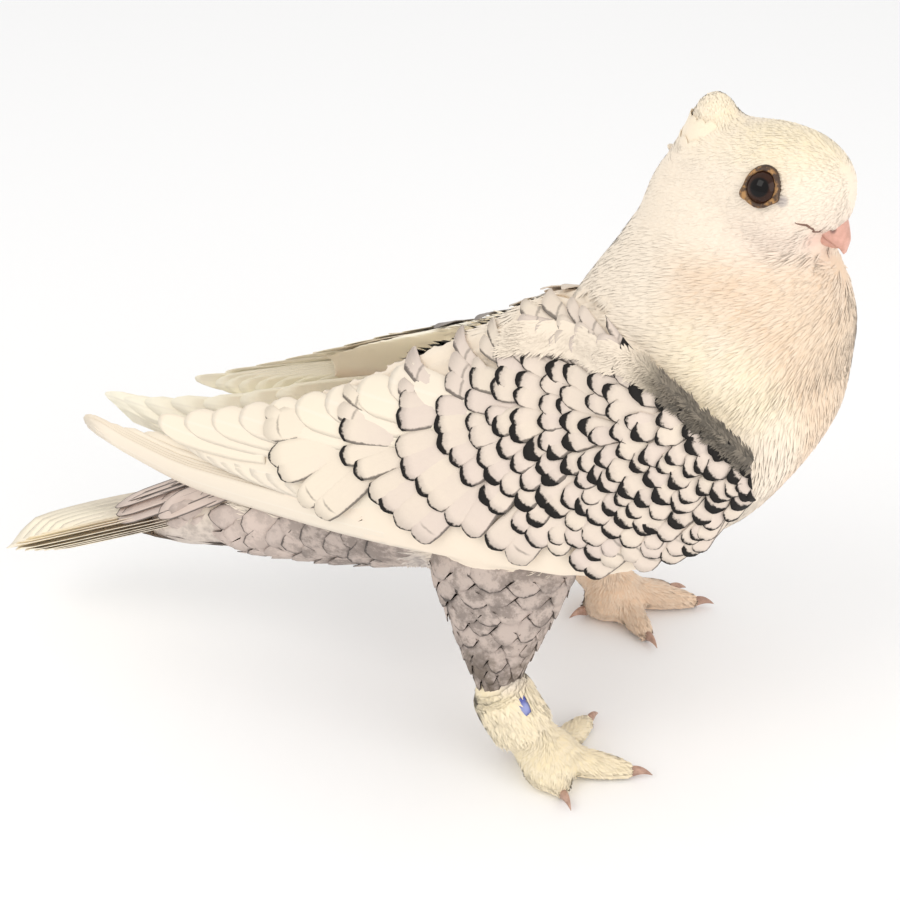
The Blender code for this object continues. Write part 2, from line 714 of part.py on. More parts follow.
def make_tail():
    """Twelve tail feathers in a low roof, with coverts above and below, grown from a short stump."""
    places = np.linspace(TAIL_STUMP[0][0], TAIL_STUMP[-1][0], 5)
    tail = solid("tail", *loft(section_rings(TAIL_STUMP, places, 16, 2.2)), "cream")
    vanes = []
    for side in (RIGHT, LEFT):
        slope = -TAIL_SLOPE * side
        for pair in range(TAIL_PAIRS):
            root = TAIL_ROOT + (0.0, side * 0.2, -TAIL_STEP[0] * pair)
            tip = TAIL_END + (TAIL_SHORTER * pair, side * 0.2, -TAIL_STEP[1] * pair)
            half = TAIL_HALF[0] + TAIL_HALF[1] * pair
            vanes.append(tail_vane(root, tip, side * half, slope, inner=0.0))
        to_side = np.array((1.0, side, 1.0))
        for root, tip, half, roof in TAIL_SIDE_COVERTS:
            vanes.append(tail_vane(to_side * root, to_side * tip, half, slope * roof))
    for root, tip, half in TAIL_COVERTS:
        vanes.append(tail_vane(root, tip, half, 0.0))
    fuse(tail, [solid("vane", *vane, "cream") for vane in vanes])
    return carve(tail, [solid("body", *loft(torso_rings(GAP)), "cream")])


def crest_vanes(grow=0.0):
    """The crest's feathers, tier over tier, from round the nape to one rounded peak."""
    vanes = []
    share = np.linspace(0, 1, 5)[:, None]
    for count, root, tip, root_spread, tip_spread, half in CREST_TIERS:
        for place in range(count):
            turn = CREST_TURN * (2 * (place + 0.5) / count - 1)
            out = np.array((-math.cos(turn), math.sin(turn)))
            width = (half * leaf_widths(5, 0.9, 0.5)[:, None] + grow) * np.array((1.0, -1.0))[None, :]
            spread = root_spread + (tip_spread + (place % 2) - root_spread) * share ** CREST_BULGE
            ahead = CREST_FORWARD * (1 - math.cos(turn)) * share
            x = root[0] + (tip[0] - root[0]) * share + spread * out[0] + ahead - width * out[1]
            y = spread * out[1] + width * -out[0]
            fall = CREST_FALL * math.sin(turn) ** 2
            z = root[1] + (tip[1] - fall - root[1]) * share + 0 * width
            layers = []
            for lift in (CREST_THICKNESS / 2 + grow, -CREST_THICKNESS / 2 - grow):
                layers.append(on_head(x + lift * out[0], y + lift * out[1], z))
            vanes.append(vane_mesh(*layers))
    return vanes


def make_head():
    """The head with its crest, lids, cere and mouth line, hollowed for the eyes and beak."""
    head = solid("head", *loft(head_rings()), "cream")
    grown = [solid("crest", *vane, "cream") for vane in crest_vanes()]
    for side in (RIGHT, LEFT):
        grown.append(solid("lid", *ring_mesh(lid_rings(side)), "cream"))
        cere = beak_place(CERE[0], CERE[1], side * CERE[2])
        grown.append(solid("cere", *loft(ball_rings(cere, CERE_RADII, 5, 9)), "cream"))
    fuse(head, grown)
    cutters = [solid("upper", *loft(beak_rings(UPPER_BEAK, True, GAP)), "pink"),
               solid("lower", *loft(beak_rings(LOWER_BEAK, False, GAP)), "pink")]
    for side in (RIGHT, LEFT):
        radius = EYE_RADIUS + GAP
        cutters.append(solid("socket", *loft(ball_rings(eye_centre(side), (radius,) * 3, 8, 14)), "dark"))
    return carve(head, cutters)


def frill_locks(heights, surface):
    """Flat tapered locks, one to each side at each height, lying on a surface and lifting at their tips."""
    locks = []
    share = np.linspace(0, 1, 4)[:, None]
    across = np.array((1.0, -1.0))[None, :]
    for row, height in enumerate(heights):
        for side in (RIGHT, LEFT):
            reach = FRILL_REACH - FRILL_SHORTER * (row % 2)
            width = FRILL_HALF * leaf_widths(4, 0.75, 0.3)[:, None]
            level = height - FRILL_FALL * share ** 1.5 + width * across
            angle = side * (0.03 + reach * share)
            lift = FRILL_LIFT[0] + (FRILL_LIFT[1] - FRILL_LIFT[0]) * share
            outer = surface(level, angle, lift + FRILL_THICKNESS / 2)
            inner = surface(level, angle, lift - FRILL_THICKNESS / 2)
            locks.append(vane_mesh(outer, inner))
    return locks


def breast_point(height, angle, lift):
    """A point of the torso's front, at a height and an angle from straight ahead."""
    height, angle, lift = np.broadcast_arrays(height, angle, lift)
    inside, outside = np.zeros(angle.shape), np.full(angle.shape, 60.0)
    for _ in range(24):
        reach = (inside + outside) / 2
        x, y = BREAST_MIDDLE + reach * np.cos(angle), reach * np.sin(angle)
        within = (np.abs(y) < torso_side(x, height)) & (x < TORSO[0][0])
        inside, outside = np.where(within, reach, inside), np.where(within, outside, reach)
    reach = inside + lift
    return np.stack([BREAST_MIDDLE + reach * np.cos(angle), reach * np.sin(angle), height], axis=-1)


def make_neck():
    """The neck with its frill, parted from the torso and from the head."""
    neck = solid("neck", *loft(neck_rings()), "cream")
    fuse(neck, [solid("lock", *lock, "cream") for lock in frill_locks(NECK_FRILL, neck_point)])
    cutters = [solid("body", *loft(torso_rings(GAP)), "cream")]
    cutters.append(solid("skull", *loft(head_rings(GAP)), "cream"))
    cutters += [solid("crest", *vane, "cream") for vane in crest_vanes(GAP)]
    cutters += [solid("pocket", *loft(wing_pocket(side, GAP + BED_EASE)), "cream") for side in (RIGHT, LEFT)]
    return carve(neck, cutters)


def tube_rings(path, radii, around=12):
    """Round rings square to a path."""
    path = np.asarray(path, float)
    ahead = np.gradient(path, axis=0)
    ahead /= np.linalg.norm(ahead, axis=1)[:, None]
    guide = np.array((0.0, 1.0, 0.0))
    first = np.cross(ahead, guide)
    first /= np.linalg.norm(first, axis=1)[:, None]
    second = np.cross(ahead, first)
    angle = np.linspace(0, 2 * np.pi, around, endpoint=False)
    radii = np.asarray(radii, float)
    if radii.ndim == 1:
        radii = np.stack([radii, radii], axis=1)
    return (path[:, None, :] + radii[:, :1, None] * np.cos(angle)[None, :, None] * first[:, None, :]
            + radii[:, 1:, None] * np.sin(angle)[None, :, None] * second[:, None, :])


def thigh_rings(side, grow=0.0):
    """The thigh's rings, from inside the flank to the hock."""
    top, hock = np.array(THIGH_TOP[side]), np.array(HOCK[side])
    share = np.linspace(-0.15, 1.08, 9)
    path = top + (hock - top) * share[:, None]
    depth = through(THIGH_DEPTH, share) + grow
    width = through(THIGH_WIDTH, share) + grow
    path[-1] += (hock - top) / np.linalg.norm(hock - top) * grow
    return tube_rings(path, np.stack([depth, width], axis=1), 16)


def make_thigh(side, name):
    """The feathered thigh, from the flank to the hock."""
    thigh = solid(name, *loft(thigh_rings(side)), "grey")
    cutters = [solid("body", *loft(torso_rings(GAP)), "cream")]
    cutters.append(solid("pocket", *loft(wing_pocket(side, GAP + BED_EASE)), "cream"))
    return carve(thigh, cutters)


def shank_place(side, share):
    """Points of the shank's axis, from the hock down to the foot."""
    hock, foot = np.array(HOCK[side]), foot_ball(side)
    share = np.asarray(share, float)[:, None]
    return hock + (foot - hock) * share - np.array((SHANK_BOW, 0, 0)) * 4 * share * (1 - share)


def make_shank(side, name):
    """The short feathered shank, the right one with a step round it where its ring sits."""
    radii = np.array(SHANK_RADII)
    if side == RIGHT:
        radii[3:5] = RING_STEP
    shank = solid(name, *loft(tube_rings(shank_place(side, SHANK_SHARES), radii, 12)), "cream")
    thigh = solid("thigh", *loft(thigh_rings(side, GAP)), "grey")
    ball = solid("ball", *loft(ball_rings(foot_ball(side), np.array(FOOT_BALL) + GAP, 8, 14)), "cream")
    heel = solid("heel", *loft(heel_rings(side, GAP)), "cream")
    return carve(shank, [thigh, ball, heel])


def make_ring():
    """The plain closed band round the right shank."""
    path = shank_place(RIGHT, RING_PLACE)
    inner = tube_rings(path, (RING_RADII[0],) * 2, 20)
    outer = tube_rings(path, (RING_RADII[1],) * 2, 20)
    sections = np.stack([inner[0], outer[0], outer[1], inner[1]], axis=1)
    return solid("leg_ring", *ring_mesh(sections), "violet", 0.4)


def foot_ball(side):
    """The middle of the ball where the toes meet."""
    return np.array(FOOT[side]) + (0.0, 0.0, FOOT_HEIGHT)


def heel_rings(side, grow=0.0):
    """The pad beside the ball of the foot, flat on the floor."""
    rings = ball_rings(np.array(FOOT[side]) + HEEL[side], np.array(HEEL_RADII) + grow, 7, 12)
    rings[..., 2] = np.maximum(rings[..., 2], 0.0)
    return rings


def toe_line(side, length, heading):
    """The way from the ball of the foot to the start of a claw, and the claw's own end."""
    heading = math.radians(heading)
    ahead = np.array((math.cos(heading), math.sin(heading), 0.0))
    return np.array(FOOT[side]), ahead, length - CLAW_LENGTH


def toe_rings(side, length, heading, girth):
    """A toe with a flat sole, from inside the ball of the foot to the face of its claw."""
    start, ahead, reach = toe_line(side, length, heading)
    share = np.linspace(0.05, 1, 5)
    radius = through(TOE_RADII, share) * TOE_RADIUS * (1 + (girth - 1) * (1 - share))
    height = through(TOE_HEIGHTS, share)
    angle = np.linspace(0, 2 * np.pi, 10, endpoint=False)
    across = np.array((-ahead[1], ahead[0], 0.0))
    centre = start + ahead * (reach * share)[:, None] + UP * height[:, None]
    rings = (centre[:, None, :] + radius[:, None, None] * np.cos(angle)[None, :, None] * across
             + radius[:, None, None] * np.sin(angle)[None, :, None] * UP)
    rings[..., 2] = np.maximum(rings[..., 2], 0.0)
    return rings


def claw_rings(side, length, heading):
    """A short bent claw, from just past the toe's face to its tip above the floor."""
    start, ahead, reach = toe_line(side, length, heading)
    share = np.linspace(0, 1, 5)
    radius = CLAW_RADIUS[0] * (1 - share ** 1.4) + CLAW_RADIUS[1]
    along = reach + GAP + share * (CLAW_LENGTH - GAP)
    start_height, arch, drop = CLAW_HEIGHTS
    height = start_height + arch * np.sin(share * np.pi * 0.8) + drop * share ** 2
    angle = np.linspace(0, 2 * np.pi, 6, endpoint=False)
    across = np.array((-ahead[1], ahead[0], 0.0))
    centre = start + ahead * along[:, None] + UP * height[:, None]
    rings = (centre[:, None, :] + 0.75 * radius[:, None, None] * np.cos(angle)[None, :, None] * across
             + radius[:, None, None] * np.sin(angle)[None, :, None] * UP)
    rings[..., 2] = np.maximum(rings[..., 2], 0.1)
    return rings


def make_foot(side, name):
    """The foot: a ball with four toes, and a claw of its own at the end of each."""
    ball = ball_rings(foot_ball(side), FOOT_BALL, 8, 14)
    ball[..., 2] = np.maximum(ball[..., 2], 0.0)
    foot = solid(name, *loft(ball), "cream")
    grown = [solid("heel", *loft(heel_rings(side)), "cream")]
    for _, length, heading, girth in TOES[side]:
        grown.append(solid("toe", *loft(toe_rings(side, length, heading, girth)), "cream"))
    fuse(foot, grown)
    ending = "right" if side == RIGHT else "left"
    for toe, length, heading, _ in TOES[side]:
        solid(f"claw_{toe}_{ending}", *loft(claw_rings(side, length, heading)), "horn")


def make_torso():
    """The torso, from the breast to the root of the tail, with the lower frill and a bed for each wing."""
    torso = solid("torso", *loft(torso_rings()), "cream")
    fuse(torso, [solid("lock", *lock, "cream") for lock in frill_locks(BREAST_FRILL, breast_point)])
    pockets = [wing_pocket(side, GAP + BED_EASE) for side in (RIGHT, LEFT)]
    return carve(torso, [solid("pocket", *loft(pocket), "cream") for pocket in pockets])


def make_beak():
    """The two halves of the beak, parted along the mouth."""
    upper = solid("beak_upper", *loft(beak_rings(UPPER_BEAK, True)), "pink", 0.4)
    nostrils = []
    for side in (RIGHT, LEFT):
        place = beak_place(NOSTRIL[0], NOSTRIL[1], side * NOSTRIL[2])
        nostrils.append(solid("nostril", *loft(ball_rings(place, NOSTRIL_RADII, 5, 8)), "dark"))
    carve(upper, nostrils)
    solid("beak_lower", *loft(beak_rings(LOWER_BEAK, False)), "pink", 0.4)


def make_eyes():
    """The two eyeballs."""
    for side, name in ((RIGHT, "eye_right"), (LEFT, "eye_left")):
        solid(name, *loft(ball_rings(eye_centre(side), (EYE_RADIUS,) * 3, 8, 12)), "dark", 0.08)


def main():
    """Clears the scene and makes every part."""
    for old in list(bpy.data.objects):
        bpy.data.objects.remove(old)
    make_torso()
    make_neck()
    make_head()
    make_beak()
    make_eyes()
    make_tail()
    make_ring()
    for side, ending in ((RIGHT, "right"), (LEFT, "left")):
        make_wing(side, f"wing_{ending}")
        make_thigh(side, f"thigh_{ending}")
        make_shank(side, f"shank_{ending}")
        make_foot(side, f"foot_{ending}")
    for made in bpy.data.objects:
        shade_round(made)


main()
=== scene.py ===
# %% [markdown]
# # A standing frill pigeon
#
# A small cream white pigeon with a peaked crest, a short beak, a parted frill down its breast and
# wings whose feathers are edged with black. The rigid model gives the places. Here the skin is made
# smooth and whole, and each kind of feather is laid on it as real, thin leaves.

# %% Load the rigid model
import math
from functools import partial, partialmethod

import bmesh
import bpy
import numpy as np
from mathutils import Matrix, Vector
from mathutils.bvhtree import BVHTree


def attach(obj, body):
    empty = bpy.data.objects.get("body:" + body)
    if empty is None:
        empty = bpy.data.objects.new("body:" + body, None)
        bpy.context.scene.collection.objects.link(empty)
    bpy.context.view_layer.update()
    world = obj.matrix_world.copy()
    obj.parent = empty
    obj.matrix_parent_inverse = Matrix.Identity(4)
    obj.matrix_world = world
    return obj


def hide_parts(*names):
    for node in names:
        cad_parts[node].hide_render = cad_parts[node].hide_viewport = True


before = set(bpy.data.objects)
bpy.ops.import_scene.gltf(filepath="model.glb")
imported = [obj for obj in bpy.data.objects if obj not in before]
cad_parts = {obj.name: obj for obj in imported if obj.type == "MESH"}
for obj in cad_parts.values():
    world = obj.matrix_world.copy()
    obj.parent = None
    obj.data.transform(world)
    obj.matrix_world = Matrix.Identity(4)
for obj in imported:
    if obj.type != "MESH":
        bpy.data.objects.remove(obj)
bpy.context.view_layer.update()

# %% [markdown]
# ## Sizes
#
# Every size is in millimetres, with the bird facing +X, its left side at +Y and the floor at zero.
# The whole bird is shifted once, as its mesh is made, so that its box stands over the origin. A curve
# through a few stations gives each outline, and keeps between its stations.

# %% Curves through stations
MM = 0.001
SHIFT = np.array((55, -9.235, 0))
RIGHT, LEFT = SIDES = (-1, 1)
ENDINGS = {RIGHT: "right", LEFT: "left"}
UP = np.array((0, 0, 1))


def through(stations, place):
    """The curve through (place, value, ...) stations: cubic between two stations, its slope at each the
    harmonic mean of the slopes on both sides, so that it never swings past a station."""
    table = np.array(sorted(stations), float)
    knots, values = table[:, 0], table[:, 1:]
    place = np.clip(np.asarray(place, float), knots[0], knots[-1])
    rise = np.diff(values, axis=0) / np.diff(knots)[:, None]
    product = rise[:-1] * rise[1:]
    total = np.where(product > 0, rise[:-1] + rise[1:], 1)
    slope = np.vstack([rise[:1], np.where(product > 0, 2 * product / total, 0), rise[-1:]])
    cell = np.clip(np.searchsorted(knots, place) - 1, 0, len(knots) - 2)
    span = (knots[cell + 1] - knots[cell])[..., None]
    f = (place - knots[cell])[..., None] / span
    low, high = values[cell], values[cell + 1]
    cubic = (low * (1 + 2 * f) * (1 - f) ** 2 + high * f * f * (3 - 2 * f)
             + span * (slope[cell] * f * (1 - f) ** 2 - slope[cell + 1] * f * f * (1 - f)))
    return cubic[..., 0] if cubic.shape[-1] == 1 else np.moveaxis(cubic, -1, 0)


def power(value, exponent):
    """A power that keeps the sign."""
    return np.sign(value) * np.abs(value) ** exponent


def ease(value, low, high):
    """Rises smoothly from 0 at low to 1 at high."""
    share = np.clip((np.asarray(value, float) - low) / (high - low), 0, 1)
    return share * share * (3 - 2 * share)


def unit(vectors):
    """Vectors of length one, in the same directions."""
    return vectors / np.maximum(np.linalg.norm(vectors, axis=-1, keepdims=True), 1e-9)


def chance(seed):
    """A source of random numbers that gives the same ones on each run."""
    return np.random.default_rng(seed)


def circle(count):
    """Angles evenly spaced round a full turn."""
    return np.linspace(0, 2 * np.pi, count, endpoint=False)


print("a curve through three stations:", through(((0, 0), (1, 2), (2, 0)), np.linspace(0, 2, 5)).round(2))

# %% [markdown]
# ## From arrays to a mesh
#
# A shape is worked out as whole arrays of points, and one call puts them into a mesh. A mesh may also
# carry maps and values: a flat map that the textures are baked on, and numbers such as the distance
# from a feather's tip, from which its material draws the black edge.

# %% A mesh from arrays
def build(name, points, faces, material=None, maps=None, values=None, normals=None):
    """An object from points in millimetres and arrays of faces, smooth, with its maps and its values."""
    mesh = bpy.data.meshes.new(name)
    placed = ((np.asarray(points, float) + SHIFT) * MM).astype(np.float32)
    sizes = np.concatenate([np.full(len(part), part.shape[1]) for part in faces])
    corners = np.concatenate([part.ravel() for part in faces]).astype(np.int32)
    mesh.vertices.add(len(placed))
    mesh.vertices.foreach_set("co", placed.ravel())
    mesh.loops.add(len(corners))
    mesh.loops.foreach_set("vertex_index", corners)
    mesh.polygons.add(len(sizes))
    mesh.polygons.foreach_set("loop_start", (np.cumsum(sizes) - sizes).astype(np.int32))
    mesh.update(calc_edges=True)
    mesh.shade_smooth()
    for map_name, flat in (maps or {}).items():
        layer = mesh.uv_layers.new(name=map_name)
        layer.data.foreach_set("uv", flat[corners].astype(np.float32).ravel())
    for value_name, numbers in (values or {}).items():
        attribute = mesh.attributes.new(value_name, "FLOAT", "POINT")
        attribute.data.foreach_set("value", np.asarray(numbers, np.float32).ravel())
    if normals is not None:
        mesh.normals_split_custom_set_from_vertices(normals.astype(np.float32))
    made = bpy.data.objects.new(name, mesh)
    bpy.context.scene.collection.objects.link(made)
    if material:
        mesh.materials.append(material)
    return made


def band_faces(count, around, closed=False):
    """Four-sided faces over `count` rings of `around` points. A closed band joins its last ring to its
    first, as a lid does."""
    ring, step = np.meshgrid(np.arange(count if closed else count - 1), np.arange(around), indexing="ij")
    after, further = (step + 1) % around, (ring + 1) % count
    return np.stack([ring * around + step, ring * around + after,
                     further * around + after, further * around + step], axis=-1).reshape(-1, 4)


def loft(rings):
    """Points and faces of the closed skin over a row of rings, with a middle point for each end."""
    rings = np.asarray(rings, float)
    count, around = rings.shape[:2]
    points = np.vstack([rings.reshape(-1, 3), rings[0].mean(axis=0), rings[-1].mean(axis=0)])
    turn, last = np.arange(around), (count - 1) * around
    after, middle = (turn + 1) % around, np.full(around, count * around)
    start = np.stack([after, turn, middle], axis=-1)
    end = np.stack([last + turn, last + after, middle + 1], axis=-1)
    return points, [band_faces(count, around), np.vstack([start, end])]


def outward(made):
    """Turns the faces of a closed mesh to point outwards."""
    work = bmesh.new()
    work.from_mesh(made.data)
    bmesh.ops.recalc_face_normals(work, faces=work.faces)
    if work.calc_volume(signed=True) < 0:
        bmesh.ops.reverse_faces(work, faces=work.faces)
    work.to_mesh(made.data)
    work.free()
    made.data.shade_smooth()
    return made


# %% [markdown]
# ## Shader sums
#
# A material's colour is a sum over its surface: how far a place is from a feather's tip, how much
# noise there is, which part of the body it lies on. One small class wraps a node's output, so that
# such a sum is plain arithmetic, and one method makes every other kind of node.

# %% A link that can be added and multiplied
OBJECT_OUTPUT = 3


class Link:
    """A value that changes over a surface. Sums on it add the material's own Math nodes."""

    def __init__(self, tree, socket=None):
        self.tree, self.socket = tree, socket

    def node(self, kind, settings=None, inputs=None, output=0):
        """A node of this kind: its settings first, then the values or links of its sockets."""
        made = self.tree.nodes.new(kind)
        for name, value in (settings or {}).items():
            setattr(made, name, value)
        for key, value in (inputs or {}).items():
            if isinstance(value, Link):
                self.tree.links.new(value.socket, made.inputs[key])
            else:
                made.inputs[key].default_value = value
        return Link(self.tree, made.outputs[output])

    def math(self, operation, *others):
        """A Math node on this value and others."""
        return self.node("ShaderNodeMath", {"operation": operation}, dict(enumerate((self, *others))))

    __add__ = __radd__ = partialmethod(math, "ADD")
    __sub__ = partialmethod(math, "SUBTRACT")
    __mul__ = __rmul__ = partialmethod(math, "MULTIPLY")
    most = partialmethod(math, "MAXIMUM")
    least = partialmethod(math, "MINIMUM")
    size = partialmethod(math, "ABSOLUTE")

    def __rsub__(self, other):
        return self.node("ShaderNodeMath", {"operation": "SUBTRACT"}, {0: other, 1: self})

    def step(self, low, high):
        """Rises smoothly from 0 where this is `low` to 1 where it is `high`."""
        settings = {"interpolation_type": "SMOOTHSTEP"}
        return self.node("ShaderNodeMapRange", settings, {"Value": self, "From Min": low, "From Max": high})

    def fall(self, low, high):
        """Falls smoothly from 1 at `low` to 0 at `high`."""
        return 1 - self.step(low, high)

    def window(self, low, full, still, high):
        """Rises from 0 at `low` to 1 at `full`, and falls again from 1 at `still` to 0 at `high`."""
        return self.step(low, full) * self.fall(still, high)

    def near(self, middle, reach):
        """1 where this is `middle`, and 0 further than `reach` from it."""
        return (self - middle).size().fall(0, reach)

    def tint(self, first, second):
        """The first colour where this is 0, and the second where it is 1."""
        inputs = {0: self}
        for key, colour in ((6, first), (7, second)):
            inputs[key] = colour if isinstance(colour, Link) else (*colour, 1)
        return self.node("ShaderNodeMix", {"data_type": "RGBA"}, inputs, output=2)

    def noise(self, scale, detail=2, rough=0.5):
        """Noise over this vector, from 0 to 1, with `scale` lumps to a unit."""
        return self.node("ShaderNodeTexNoise", None,
                         {"Vector": self, "Scale": scale, "Detail": detail, "Roughness": rough})

    def gap(self, spot):
        """How far this place is from a spot."""
        settings = {"operation": "DISTANCE"}
        return self.node("ShaderNodeVectorMath", settings, {0: self, 1: tuple(spot)}, output=1)

    def value(self, name):
        """A value that the mesh carries."""
        return self.node("ShaderNodeAttribute", {"attribute_name": name}, output=2)


def finish_of(name, paint, roughness, bump=0, depth=0.0001, **constants):
    """A material whose colour and height come from paint(place, x, y, z), with places in millimetres."""
    material = bpy.data.materials.new(name)
    material.use_nodes = True
    tree = material.node_tree
    shader = tree.nodes["Principled BSDF"]
    start = Link(tree)
    inside = start.node("ShaderNodeTexCoord", output=OBJECT_OUTPUT)
    moved = start.node("ShaderNodeMapping", None, {
        "Vector": inside, "Location": tuple(-SHIFT), "Scale": (1 / MM,) * 3})
    parts = [start.node("ShaderNodeSeparateXYZ", None, {0: moved}, output=axis) for axis in range(3)]
    colour, height = paint(moved, *parts)
    tree.links.new(colour.socket, shader.inputs["Base Color"])
    if height is not None:
        made = start.node("ShaderNodeBump", None, {"Strength": bump, "Distance": depth, "Height": height})
        tree.links.new(made.socket, shader.inputs["Normal"])
    shader.inputs["Roughness"].default_value = roughness
    for key, value in constants.items():
        socket = key.replace("_", " ").title().replace("Ior", "IOR")
        shader.inputs[socket].default_value = value
    return material


print("kinds of shader sums:", [name for name in vars(Link) if name.islower() and name[0] != "_"])

# %% [markdown]
# ## Torso, neck and head
#
# The trunk is a row of rounded sections from the breast to the tail. The neck is a row of level rings
# that turn towards the viewer as they rise, and the head sits on it, turned as far. The crest is a
# small lump behind the crown. The rigid model has the same stations. Here there are more rings, drawn
# in by the depth of the feathers.

# %% Stations of the body
TORSO = ((62.5, 110, 115, 3), (59.5, 102.5, 120, 16), (52, 90, 123, 28),
         (41, 76.5, 124, 35.5), (23, 63.5, 124, 38.5), (0, 54, 122, 39.5),
         (-25, 49, 111.5, 36), (-50, 43.5, 99, 28.5), (-75, 39.5, 83, 21.5),
         (-96, 38, 68.5, 15.5), (-104, 40.5, 62.5, 11.5))
STUMP = ((-96, 39.5, 66, 12.5), (-108, 37, 60, 12.5), (-116, 36, 54.5, 10.5),
         (-124, 36.5, 49, 7.5))
NECK = ((98, 2, 52, 28), (105, -6, 57.5, 31.5), (112, -10, 61, 32.5),
        (120, -10, 62.3, 31), (128, -6.5, 62.2, 27.8), (136, -1.5, 60.5, 24.2),
        (143, 3, 57.5, 21.2), (150, 6.5, 53, 18.8), (158, 9, 48, 16),
        (165, 13, 36, 9))
HEAD = ((-17.5, 160, 165, 3.5), (-15, 153, 169.5, 8.8), (-9, 146, 173, 12.6),
        (0, 142, 175.2, 14.8), (9, 141, 176, 15.4), (16, 142.5, 175.2, 14.8),
        (21, 146, 173.4, 12.4), (24.8, 150.5, 170.8, 9.2), (27.2, 154.8, 167.8, 5.8),
        (28.4, 159, 164.5, 2.4))
CREST = ((163, -8, 8.2, 10.2), (169, -7.8, 7.6, 9), (174, -7.2, 6.2, 6.8),
         (177.8, -7.4, 4.6, 4.8), (179.7, -7.4, 2.2, 2.4))
HEAD_YAW = math.radians(-20)
HEAD_PIVOT = 31
NECK_TWIST = (110, 155)
COAT = 1
TRUNK_ROUND, STUMP_ROUND, HEAD_ROUND = 2.15, 2.2, 2.1
NECK_SKIN, HEAD_SKIN = 0.3, 0.4
EYE_X, EYE_Z = 12.4, 165.6
GAPE = (19, 157.5)
MOUTH = ((18.4, 158.4), (20.1, 158), (22.5, 156.2), (24.6, 154.4))


def section_rings(stations, places, around, roundness, grow=0):
    """Upright rings along X: at each place a rounded section, |y/half|^r + |z/height|^r = 1."""
    angle = circle(around)
    low, high, half = through(stations, places)
    middle, height, half = (low + high) / 2, (high - low) / 2 + grow, half + grow
    across = half[:, None] * power(np.cos(angle), 2 / roundness)
    upward = middle[:, None] + height[:, None] * power(np.sin(angle), 2 / roundness)
    return np.stack([np.repeat(places[:, None], around, axis=1), across, upward], axis=-1)


def end_spaced(first, last, count):
    """Places from first to last, closer together near both ends."""
    return first + (last - first) * (0.5 - 0.5 * np.cos(np.linspace(0, np.pi, count)))


def turned(points, angle):
    """Points turned about the upright line through the head's pivot."""
    points = np.array(points, float)
    x, y = points[..., 0] - HEAD_PIVOT, points[..., 1].copy()
    points[..., 0] = HEAD_PIVOT + x * np.cos(angle) - y * np.sin(angle)
    points[..., 1] = x * np.sin(angle) + y * np.cos(angle)
    return points


def neck_point(height, angle, grow=0):
    """A point of the neck at a height and an angle from straight ahead, turned with the neck."""
    back, front, half = through(NECK, height)
    x = (back + front) / 2 + ((front - back) / 2 + grow) * np.cos(angle)
    y = (half + grow) * np.sin(angle)
    point = np.stack(np.broadcast_arrays(x, y, height), axis=-1)
    return turned(point, HEAD_YAW * ease(height, *NECK_TWIST))


def on_head(x, y, z):
    """A place given forward of the head's pivot, in the turned head."""
    x = np.asarray(x, float) + HEAD_PIVOT
    return turned(np.stack(np.broadcast_arrays(x, y, z), axis=-1), HEAD_YAW)


def face_side(x, z):
    """How far the side of the head stands off its middle plane."""
    low, high, half = through(HEAD, x)
    share = np.clip(np.abs(z - (low + high) / 2) / ((high - low) / 2 + HEAD_SKIN), 0, 0.999)
    return (half + HEAD_SKIN) * (1 - share ** HEAD_ROUND) ** (1 / HEAD_ROUND)


def crest_rings(grow=0):
    """Level rings of the crest's lump: middle, depth and half width at each height."""
    height = np.linspace(CREST[0][0], CREST[-1][0], 14)
    middle, depth, half = through(CREST, height)
    angle = circle(28)
    x = middle[:, None] + (depth[:, None] + grow) * np.cos(angle)
    return on_head(x, (half[:, None] + grow) * np.sin(angle), height[:, None] + 0 * x)


head_places = end_spaced(HEAD[0][0], HEAD[-1][0], 40)
neck_places = np.linspace(NECK[0][0], NECK[-1][0], 40)[:, None]
body_lofts = [
    section_rings(TORSO, end_spaced(TORSO[0][0] - COAT, TORSO[-1][0], 60), 64, TRUNK_ROUND, -COAT),
    section_rings(STUMP, np.linspace(STUMP[0][0], STUMP[-1][0], 12), 40, STUMP_ROUND, -COAT),
    neck_point(neck_places, circle(56), NECK_SKIN - COAT),
    on_head(*np.moveaxis(section_rings(HEAD, head_places, 56, HEAD_ROUND, HEAD_SKIN - COAT), -1, 0)),
    crest_rings(HEAD_SKIN - COAT),
]
print("lofts of the trunk, neck and head:", len(body_lofts))

# %% [markdown]
# ## The folded wing's sheet
#
# A folded wing is a curved sheet against the body. A place on it is told by how far it is from the
# wrist, how far across, and how far off the sheet. So a feather is laid out flat in these numbers and
# bends with the wing.

# %% A place on the wing
WRIST, WING_TIP = np.array((44, 102)), np.array((-140, 76))
WING_TOP = ((0, 6), (11, 16), (24, 27), (40, 34), (54, 34), (69, 27), (109, 14.5), (148, 6), (170, 3.5),
            (188, 1))
WING_LOW = ((0, -6), (16, -20.5), (43, -27.5), (84, -23.5), (120, -21.5), (152, -20), (176, -12.5), (188, -5))
BREADTH_TOP = ((0, 38), (24, 31), (50, 4), (69, 4), (90, 9), (109, 13), (148, 12), (170, 9), (188, 7))
BREADTH_OUT = ((0, 40), (20, 44.5), (45, 46), (84, 42.5), (109, 36), (130, 28.5), (156, 18.5), (188, 9))
CORE_THICKNESS = ((0, 5), (20, 11), (60, 11), (90, 8), (112, 3.5), (124, 1.6))
WING_SET = {RIGHT: (0, 0, 0), LEFT: (-2.5, 0.5, math.radians(3))}
TOP_SHARE = {RIGHT: 1, LEFT: 0.9}
ROLL_HEIGHT = 78
SHOULDER_ROUND, SHOULDER_FLAT, LOWER_TUCK = 1.75, 0.54, 5
WING_SPAN = WING_TOP[-1][0]
EVEN_TILT = 0.15


